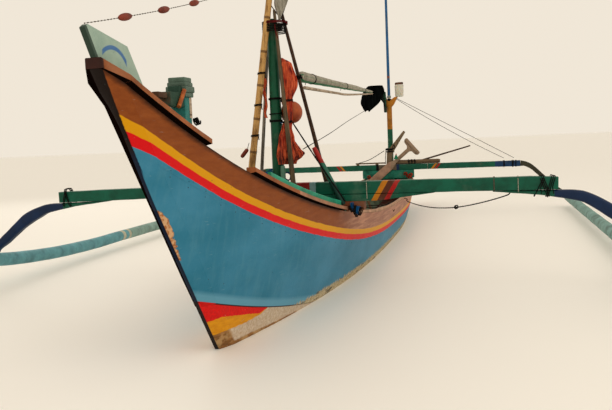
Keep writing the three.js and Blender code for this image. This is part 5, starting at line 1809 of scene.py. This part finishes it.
class CANOE_OT_crutch(CanoeOperator):
    """Build the forked crutch, its strap and the jar on it"""

    bl_idname = "canoe.crutch"
    bl_label = "Crutch"

    def build(self, context):
        post = bar("post", straight((CRUTCH_X, CRUTCH_Y, AFT_TOP_Z), (CRUTCH_X, CRUTCH_Y, 1.8), 40),
                   lambda part, turn: 0.0452 - 0.001 * part + 0.0008 * hewn(part + cos(turn), 2), 20)
        outline = [(-0.038, 1.78), (0.042, 1.78), (0.085, 1.83), (0.15, 1.95), (0.095, 1.95),
                   (0.03, 1.9), (-0.03, 1.9), (-0.045, 1.95), (-0.07, 1.95), (-0.06, 1.85)]
        fork = slab("fork", [(CRUTCH_X + x, z) for x, z in outline], "Y", CRUTCH_Y, 0.06, 0.008)
        dress(join_pieces("crutch_carved", [post, fork]), "crutch_paint", ["crutch_post"])
        low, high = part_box("crutch_strap")
        strap = slab("crutch_strap_band", STRAP_OUTLINE, "Y", (low.y + high.y) / 2,
                     high.y - low.y, 0.008)
        dress(strap, "strap_paint", ["crutch_strap"])
        self.jar()

    def jar(self):
        """Jar that stands on the fork's arm, and its lid, a little tilted."""
        x, y, base = CRUTCH_X + 0.178, CRUTCH_Y, 1.9503
        profile = ((0.0, 0.055), (0.004, 0.066), (0.02, 0.07), (0.12, 0.075), (0.19, 0.077),
                   (0.205, 0.066), (0.212, 0.06), (0.24, 0.058))
        rings = [oval(x, y, base + rise, radius, radius, 36) for rise, radius in profile]
        dress(loft_piece("jar_body", rings, 40), "jar_plastic", ["jar"])
        profile = ((0.205, 0.062), (0.208, 0.07), (0.232, 0.071), (0.24, 0.066))
        rings = [oval(x, y, base + rise, radius, radius, 36) for rise, radius in profile]
        for point in (point for ring in rings for point in ring):
            point.z += LID_SLOPE * (point.x - x)
        dress(loft_piece("jar_lid", rings, 40), "lid")


class CANOE_OT_loose_gear(CanoeOperator):
    """Build the stub, plank and paddle that lie on the aft boom"""

    bl_idname = "canoe.loose_gear"
    bl_label = "Loose Gear"

    def build(self, context):
        front = AFT_BOOM_Y - AFT_BOOM_HALF
        stub = slab("raked_stub_timber", STUB_OUTLINE, "Y", front + 0.0145, 0.027, 0.007)
        dress(stub, "stub_wood", ["raked_stub"])
        near, far = AFT_BOOM_Y - 0.04, AFT_BOOM_Y + 0.03
        lifted = AFT_TOP_Z + 0.018
        parts = [rounded_box("plank", (-0.56, near, lifted), (-0.04, far, AFT_TOP_Z + 0.04), 0.004)]
        for x in (-0.545, -0.215):
            parts.append(rounded_box("chock", (x, near, AFT_TOP_Z), (x + 0.04, far, lifted), 0.003))
        dress(join_pieces("grey_plank_board", parts), "gear_wood", ["grey_plank"])
        outline = PADDLE_HALF + [(a, -b) for a, b in reversed(PADDLE_HALF[1:-1])]
        c, s = cos(PADDLE_SLOPE), sin(PADDLE_SLOPE)
        placed = [(PADDLE_GRIP[0] - run * c - out * s, PADDLE_GRIP[1] - run * s + out * c)
                  for run, out in outline]
        blade = slab("blade", placed, "Y", front - 0.0153, 0.03, 0.012)
        middle = Vector((PADDLE_GRIP[0] - 0.035 * c, front - 0.022, PADDLE_GRIP[1] - 0.035 * s))
        across = Vector((-s, 0, c)) * 0.172
        grip = bar("grip", straight(middle - across, middle + across, 20),
                   lambda part, turn: (0.031 - 0.005 * abs(sin(turn))) * min(
                       1.0, 0.6 + min(part, 1 - part) * 8), 20)
        paddle = join_pieces("tee_paddle_carved", [blade, grip])
        dress(paddle, "paddle", ["tee_paddle"])


def timber_wrap(x, y, z, half_wide, half_high, turns, pitch, tail=0.0):
    """Turns of rope round a square timber that lies along X."""
    return windings((x, y, z), (1, 0, 0), (0, 1, 0), half_wide, half_high, turns, pitch, 0.35, tail)


class CANOE_OT_lashings(CanoeOperator):
    """Wind the rope lashings, ties and coils, and stretch the stays"""

    bl_idname = "canoe.lashings"
    bl_label = "Lashings and Stays"

    def build(self, context):
        rope = context.scene.canoe_rope
        self.head(rope.lashing)
        self.booms()
        self.stays(rope.stay)
        self.net_ropes()

    def head(self, radius):
        middle = (MAST_X + 0.02, MAST_Y - 0.01, 2.197)
        routes = [windings(middle, *UPRIGHT, 0.092, 0.092, 7, 0.0128)]
        rope_piece("head_turns", routes, radius, nodes=["masthead_lashing"])
        low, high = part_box("boom_lashing")
        centre = (low + high) / 2
        lift = (0.066 - 0.33, -2.925 + 2.3, 2.33 - 0.47)
        turns = [windings(centre, lift, (1, 0, 0), 0.025, 0.025, 3.2, 0.0098)]
        rope_piece("boom_turns", turns, 0.0048, nodes=["boom_lashing"])

    def booms(self):
        y, z = FORE_BOOM_Y, FORE_BOOM_Z + TIMBER_HALF
        aft_z = AFT_BOOM_Z + AFT_BOOM_HIGH / 2
        white = [timber_wrap(0.705, y, z - 0.027, 0.0565, 0.0835, 1.2, 0.007),
                 timber_wrap(1.893, y, z - 0.006, 0.0565, 0.062, 1.3, 0.006),
                 timber_wrap(0.68, AFT_BOOM_Y, aft_z, 0.0605, 0.051, 1.4, 0.007)]
        rope_piece("white_lashings", white, 0.003, "rope_white")
        rope_piece("grey_tie", [timber_wrap(1.711, y, z - 0.002, 0.0565, 0.058, 2.2, 0.005)], 0.0024,
                   "rope_grey")
        black = [timber_wrap(x, AFT_BOOM_Y, aft_z, 0.062, 0.053, turns, 0.009, tail)
                 for x, turns, tail in ((-0.18, 4, 0.0), (1.93, 2.6, 0.0), (2.07, 3.4, 0.05),
                                        (2.12, 2.2, 0.03))]
        for x, lean, turns in ((-2.1, 0.3, 2.4), (-2.13, -0.25, 2.0)):
            black.append(windings((x, STBD_BOOM_Y, 0.842), (1, 0, lean), (0, 1, 0), 0.058, 0.086,
                                  turns, 0.012, 0.35, 0.06))
        for x, lean, turns in ((2.09, 0.35, 2.5), (2.13, -0.3, 2.5), (2.05, -0.5, 1.5)):
            black.append(windings((x, y, 0.846), (1, 0, lean), (0, 1, 0), 0.058, 0.086, turns, 0.013,
                                  0.35, 0.05))
        rope_piece("black_lashings", black, 0.0042)
        self.rail_knots()

    def rail_knots(self):
        """Knot bundle where the port rail meets the boom, and the ropes that run aft of it."""
        black, blue = [], []
        for n, (dx, dy, dz) in enumerate(self.KNOT_SPOTS):
            centre = (0.6 + dx, -2.872 + dy, 0.692 + dz)
            turns = windings(centre, (1, 0.2 * n - 0.5, 0.4 - 0.15 * n), (0, 1, 0), 0.016 + 0.002 * n,
                             0.03 + 0.003 * (n % 3), 2.3, 0.011, 0.9, 0.05 if n == 2 else 0.0)
            (blue if n in (1, 4) else black).append(turns)
        black.append(windings((0.056, -4.82, 1.412), (1, 0.2, 0.3), (0, 1, 0), 0.018, 0.02, 3, 0.01))
        for row in self.RAIL_ROPES:
            black.append(smooth_route(row, 90))
        rope_piece("rail_knots", black, 0.005)
        rope_piece("rail_knots_blue", blue, 0.005, "rope_bright")

    # Middles of the knot bundle's turns, from its own middle
    KNOT_SPOTS = ((-0.03, 0.0, 0.01), (-0.012, -0.012, 0.03), (0.0, 0.0, 0.0), (0.016, -0.006, -0.024),
                  (0.03, -0.016, 0.0), (0.05, 0.0, -0.012), (0.008, -0.02, 0.012))
    RAIL_ROPES = (
        ((0.55, -2.74, 0.74), (0.556, -2.3, 0.668), (0.562, -1.6, 0.585), (0.566, -0.7, 0.53),
         (0.57, 0.2, 0.505), (0.578, 0.69, 0.487)),
        ((0.57, -2.74, 0.72), (0.575, -2.2, 0.66), (0.572, -1.5, 0.6), (0.566, -0.9, 0.54),
         (0.568, -0.3, 0.498)),
        ((0.584, -0.5, 0.5), (0.6, -0.44, 0.455), (0.602, -0.34, 0.42), (0.598, -0.22, 0.445),
         (0.582, -0.16, 0.494)),
    )

    def stays(self, radius):
        tip, head = Vector((0, -5.884, 1.8219)), Vector((0.0214, -3.0529, 2.56))

        def on_stay(part):
            return tip.lerp(head, part) - Vector((0, 0, 0.136 * part * (1 - part)
                                                  + 0.004 * (1 - part)))
        route = [on_stay(part) for part in steps_between(0, 1, 80)]
        rope_piece("forestay_laid", [route], radius * 0.75, "rope_grey", nodes=["forestay"],
                   step=0.03)
        floats = []
        for y in (-5.512, -5.073, -4.645):
            part = (y - tip.y) / (head.y - tip.y)
            ends = [on_stay(part - 0.0218), on_stay(part + 0.0218)]
            floats.append(bar("stay_float", straight(*ends, 16), lambda part, turn: 0.004
                              + 0.0145 * max(0.0, 1 - (2 * part - 1) ** 2) ** 0.6, 20, 70))
        dress(join_pieces("stay_floats", floats), "maroon")
        fork = Vector((0.16, CRUTCH_Y - 0.02, 1.925))
        low = [fork.lerp(Vector((1.93, AFT_BOOM_Y, 0.845)), part)
               - Vector((0, 0, 0.16 * part * (1 - part))) for part in steps_between(0, 1, 50)]
        high = straight(fork + Vector((0.01, 0, 0.006)), (2.09, AFT_BOOM_Y, 0.845), 50)
        rope_piece("aft_stays", [low, high], 0.0045, step=0.03)

    def net_ropes(self):
        bands = []
        for z, x, wide in ((1.43, 0.097, 0.041), (1.602, 0.098, 0.05)):
            bands.append(windings((x, -2.988, z), *UPRIGHT, wide, 0.04, 2, 0.009))
        rope_piece("net_ties", bands, 0.0045)
        foot, head = (Vector(spot) for spot in POLES[1][1:3])
        rings = []
        for z in (1.83, 1.577, 1.331):
            part = (z - foot.z) / (head.z - foot.z)
            spot = foot.lerp(head, part)
            reach = blend(0.029, 0.024, part) + 0.004
            rings.append(windings(spot, head - foot, (1, 0, 0), reach, reach, 2.2, 0.009, tail=0.05))
        rope_piece("bamboo_ties", rings, 0.0045)
        self.mast_ropes()
        self.gear_ropes()

    def mast_ropes(self):
        coils = []
        for n in range(4):
            coils.append(windings((-0.1 + 0.012 * n, -2.99 + 0.01 * n, 0.99 + 0.011 * n), (0.2, 0.9, 0.4),
                                  (1, 0, 0), 0.042 - 0.004 * n, 0.03, 1.8, 0.008))
        coils.append(windings((0.075, -2.99, 0.99), (0.3, 0.9, 0.3), (1, 0, 0), 0.03, 0.036, 2.4, 0.009))
        coils.append(windings((0.05, -2.95, 1.419), (0.2, 0.3, 1), (1, 0, 0), 0.03, 0.036, 1.6, 0.01))
        rope_piece("blue_coils", coils, 0.005, "rope_blue")
        thick = smooth_route([(0.115, -2.93, 1.44), (0.27, -2.925, 1.185), (0.4, -2.915, 0.975),
                              (0.529, -2.9, 0.771)], 60)
        rings = [windings((MAST_X, MAST_Y, z), *UPRIGHT, 0.052, 0.052, turns, 0.008)
                 for z, turns in ((1.625, 2.2), (1.503, 1.4), (1.446, 2.6))]
        vees = [straight((-0.041, -2.95, 2.421), (0.069, -2.95, 2.261), 8),
                straight((0.069, -2.95, 2.261), (0.131, -2.95, 2.406), 8)]
        rope_piece("mast_ropes", [*rings, *vees], 0.005)
        rope_piece("slant_rope", [thick], 0.0072)
        thin = smooth_route([(-0.334, 3.8, 1.753), (-0.2, 1.4, 1.53), (0.0, -0.9, 1.34),
                             (0.202, -2.93, 1.207)], 90)
        rope_piece("thin_line", [thin], 0.0042, step=0.03)
        bands = [windings((0.02, -2.96, 2.23), *UPRIGHT, 0.1, 0.098, 2.4, 0.009)]
        bands.append(smooth_route([(0.042, -3.05, 2.208), (0.05, -3.055, 2.15), (0.066, -3.05, 2.094)],
                                  12))
        rope_piece("maroon_bands", bands, 0.005, "rope_maroon")
        strip = []
        for part in steps_between(0, 1, 39):
            x = -0.088 + 0.006 * sin(part * 19)
            reach = 0.011 + 0.003 * sin(part * 31 + 1)
            strip.append(oval(x, MAST_Y - 0.02, blend(1.965, 1.474, part), reach * 1.1, 0.016, 12))
        dress(loft_piece("net_strip", strip, CLOTH_EDGE), "net")
        float_spot = straight((-0.343, -2.9, 1.157), (-0.283, -2.9, 1.226), 20)
        small = bar("small_float", float_spot, lambda part, turn: 0.004 + 0.013 * max(
            0.0, 1 - (2 * part - 1) ** 6) ** 0.5, 18, 70)
        dress(small, "maroon")
        rope_piece("float_line", [straight((-0.287, -2.9, 1.222), (-0.25, -2.96, 1.275), 10)], 0.003)

    def gear_ropes(self):
        """Lashings on the crutch's foot, the pole and the fork, and knots under the boom."""
        black = [windings((0.04, 3.858, z), (0.1, 0, 1), (1, 0, 0), 0.072, 0.062, turns, 0.011, 0.8)
                 for z, turns in ((1.06, 3.4), (1.02, 2.0))]
        black.append(windings((0.115, 3.81, 1.1), (0.2, 1, 0), (1, 0, 0), 0.02, 0.03, 1.1, 0.004))
        black += [windings((x, AFT_BOOM_Y, 0.838), (1, 0, 0.3), (0, 1, 0), 0.036, 0.036, 2.6, 0.012)
                  for x in (0.36, 0.41, 0.46)]
        black.append(windings((CRUTCH_X, CRUTCH_Y, 1.9), *UPRIGHT, 0.034, 0.036, 3, 0.012,
                              tail=0.08))
        black += [smooth_route(row, 40) for row in (
            ((-0.5, 3.8, 0.84), (-0.3, 3.8, 0.9), (-0.05, 3.81, 1.04)),
            ((-0.03, 3.81, 0.81), (-0.034, 3.8, 0.9), (-0.02, 3.8, 1.03)))]
        rope_piece("gear_lashings", black, 0.0065)
        collar = [windings((CRUTCH_X, CRUTCH_Y, 1.955), *UPRIGHT, 0.031, 0.031, 2, 0.011)]
        rope_piece("pole_collar", collar, 0.006, "rope_pale_blue")
        knots = []
        for x, z in ((-0.33, 0.6), (-0.31, 0.57), (0.3, 0.64), (0.34, 0.6), (0.39, 0.62), (0.37, 0.58)):
            knots.append(windings((x, 3.8, z), (0.6, 0.8, 0.2), (1, 0, 0), 0.022, 0.026, 2.2, 0.012))
        rope_piece("red_knots", knots, 0.008, "rope_red")
        outline = [(0.11, 0.89), (0.19, 0.89), (0.155, 0.995)]
        flag = slab("green_float", outline, "Y", 3.785, 0.022, 0.006)
        dress(flag, "green_cork")
        knot = windings((1.36, -1.48, 0.565), (1, -1, 0.3), (0, 0, 1), 0.016, 0.02, 2.4, 0.008)
        rope_piece("slack_knot", [knot], 0.006)


FLOOR_REACH = 400.0
LAMP_SIZE = 6.0
LAMP_COLOUR = (1.0, 0.95, 0.88)
LAMP_AIM = Vector((0, -1.5, 0.6))


class CANOE_OT_stage(CanoeOperator):
    """Lay the pale floor at the waterline and set the soft lights"""

    bl_idname = "canoe.stage"
    bl_label = "Stage"

    def build(self, context):
        look = context.scene.canoe_stage
        f = Finish("floor_plain")
        mesh = bpy.data.meshes.new("floor")
        corners = ((-1, -1), (1, -1), (1, 1), (-1, 1))
        mesh.from_pydata([(FLOOR_REACH * x, FLOOR_REACH * y, 0) for x, y in corners], [],
                         [(0, 1, 2, 3)])
        floor = linked("floor", mesh)
        mesh.materials.append(f.close(tuple(look.floor), 0.5))
        world = bpy.data.worlds.new("Soft Sky")
        world.use_nodes = True
        back = world.node_tree.nodes["Background"]
        back.inputs["Color"].default_value = ink("f6ecdc")
        back.inputs["Strength"].default_value = look.sky
        context.scene.world = world
        for name, spot, power in (("Key", (7, -9, 7), look.key), ("Rim", (-8, 7, 7), look.key * 0.9)):
            data = bpy.data.lights.new(name, "AREA")
            data.energy = power
            data.size = LAMP_SIZE
            data.color = LAMP_COLOUR
            lamp = linked(name, data)
            lamp.location = spot
            lamp.rotation_euler = (LAMP_AIM - Vector(spot)).to_track_quat("-Z", "Y").to_euler()
        context.scene.view_settings.view_transform = "Standard"


STEPS = (
    CANOE_OT_camera, CANOE_OT_slack_rope, CANOE_OT_planking, CANOE_OT_posts, CANOE_OT_rails,
    CANOE_OT_inside_timber, CANOE_OT_bow_gear, CANOE_OT_cross_booms, CANOE_OT_arms,
    CANOE_OT_floats, CANOE_OT_poles, CANOE_OT_bundles, CANOE_OT_sail_boom, CANOE_OT_crutch,
    CANOE_OT_loose_gear, CANOE_OT_lashings, CANOE_OT_stage,
)
SETTINGS = {
    "canoe_hull": CanoeHullSettings, "canoe_rope": CanoeRopeSettings,
    "canoe_stage": CanoeStageSettings,
}


class CANOE_PT_panel(bpy.types.Panel):
    """Sidebar list of the canoe's sizes and building steps"""

    bl_idname = "CANOE_PT_panel"
    bl_label = "Outrigger Canoe"
    bl_space_type = "VIEW_3D"
    bl_region_type = "UI"
    bl_category = "Canoe"

    def draw(self, context):
        for attribute, group in SETTINGS.items():
            box = self.layout.box()
            for key in group.__annotations__:
                box.prop(getattr(context.scene, attribute), key)
        for step in STEPS:
            self.layout.operator(step.bl_idname)


CLASSES = (*SETTINGS.values(), *STEPS, CANOE_PT_panel)


def register():
    for cls in CLASSES:
        bpy.utils.register_class(cls)
    for attribute, group in SETTINGS.items():
        setattr(bpy.types.Scene, attribute, PointerProperty(type=group))


def unregister():
    for attribute in SETTINGS:
        delattr(bpy.types.Scene, attribute)
    for cls in reversed(CLASSES):
        bpy.utils.unregister_class(cls)


def main():
    register()
    for step in STEPS:
        area, name = step.bl_idname.split(".")
        getattr(getattr(bpy.ops, area), name)()


if __name__ == "__main__":
    main()
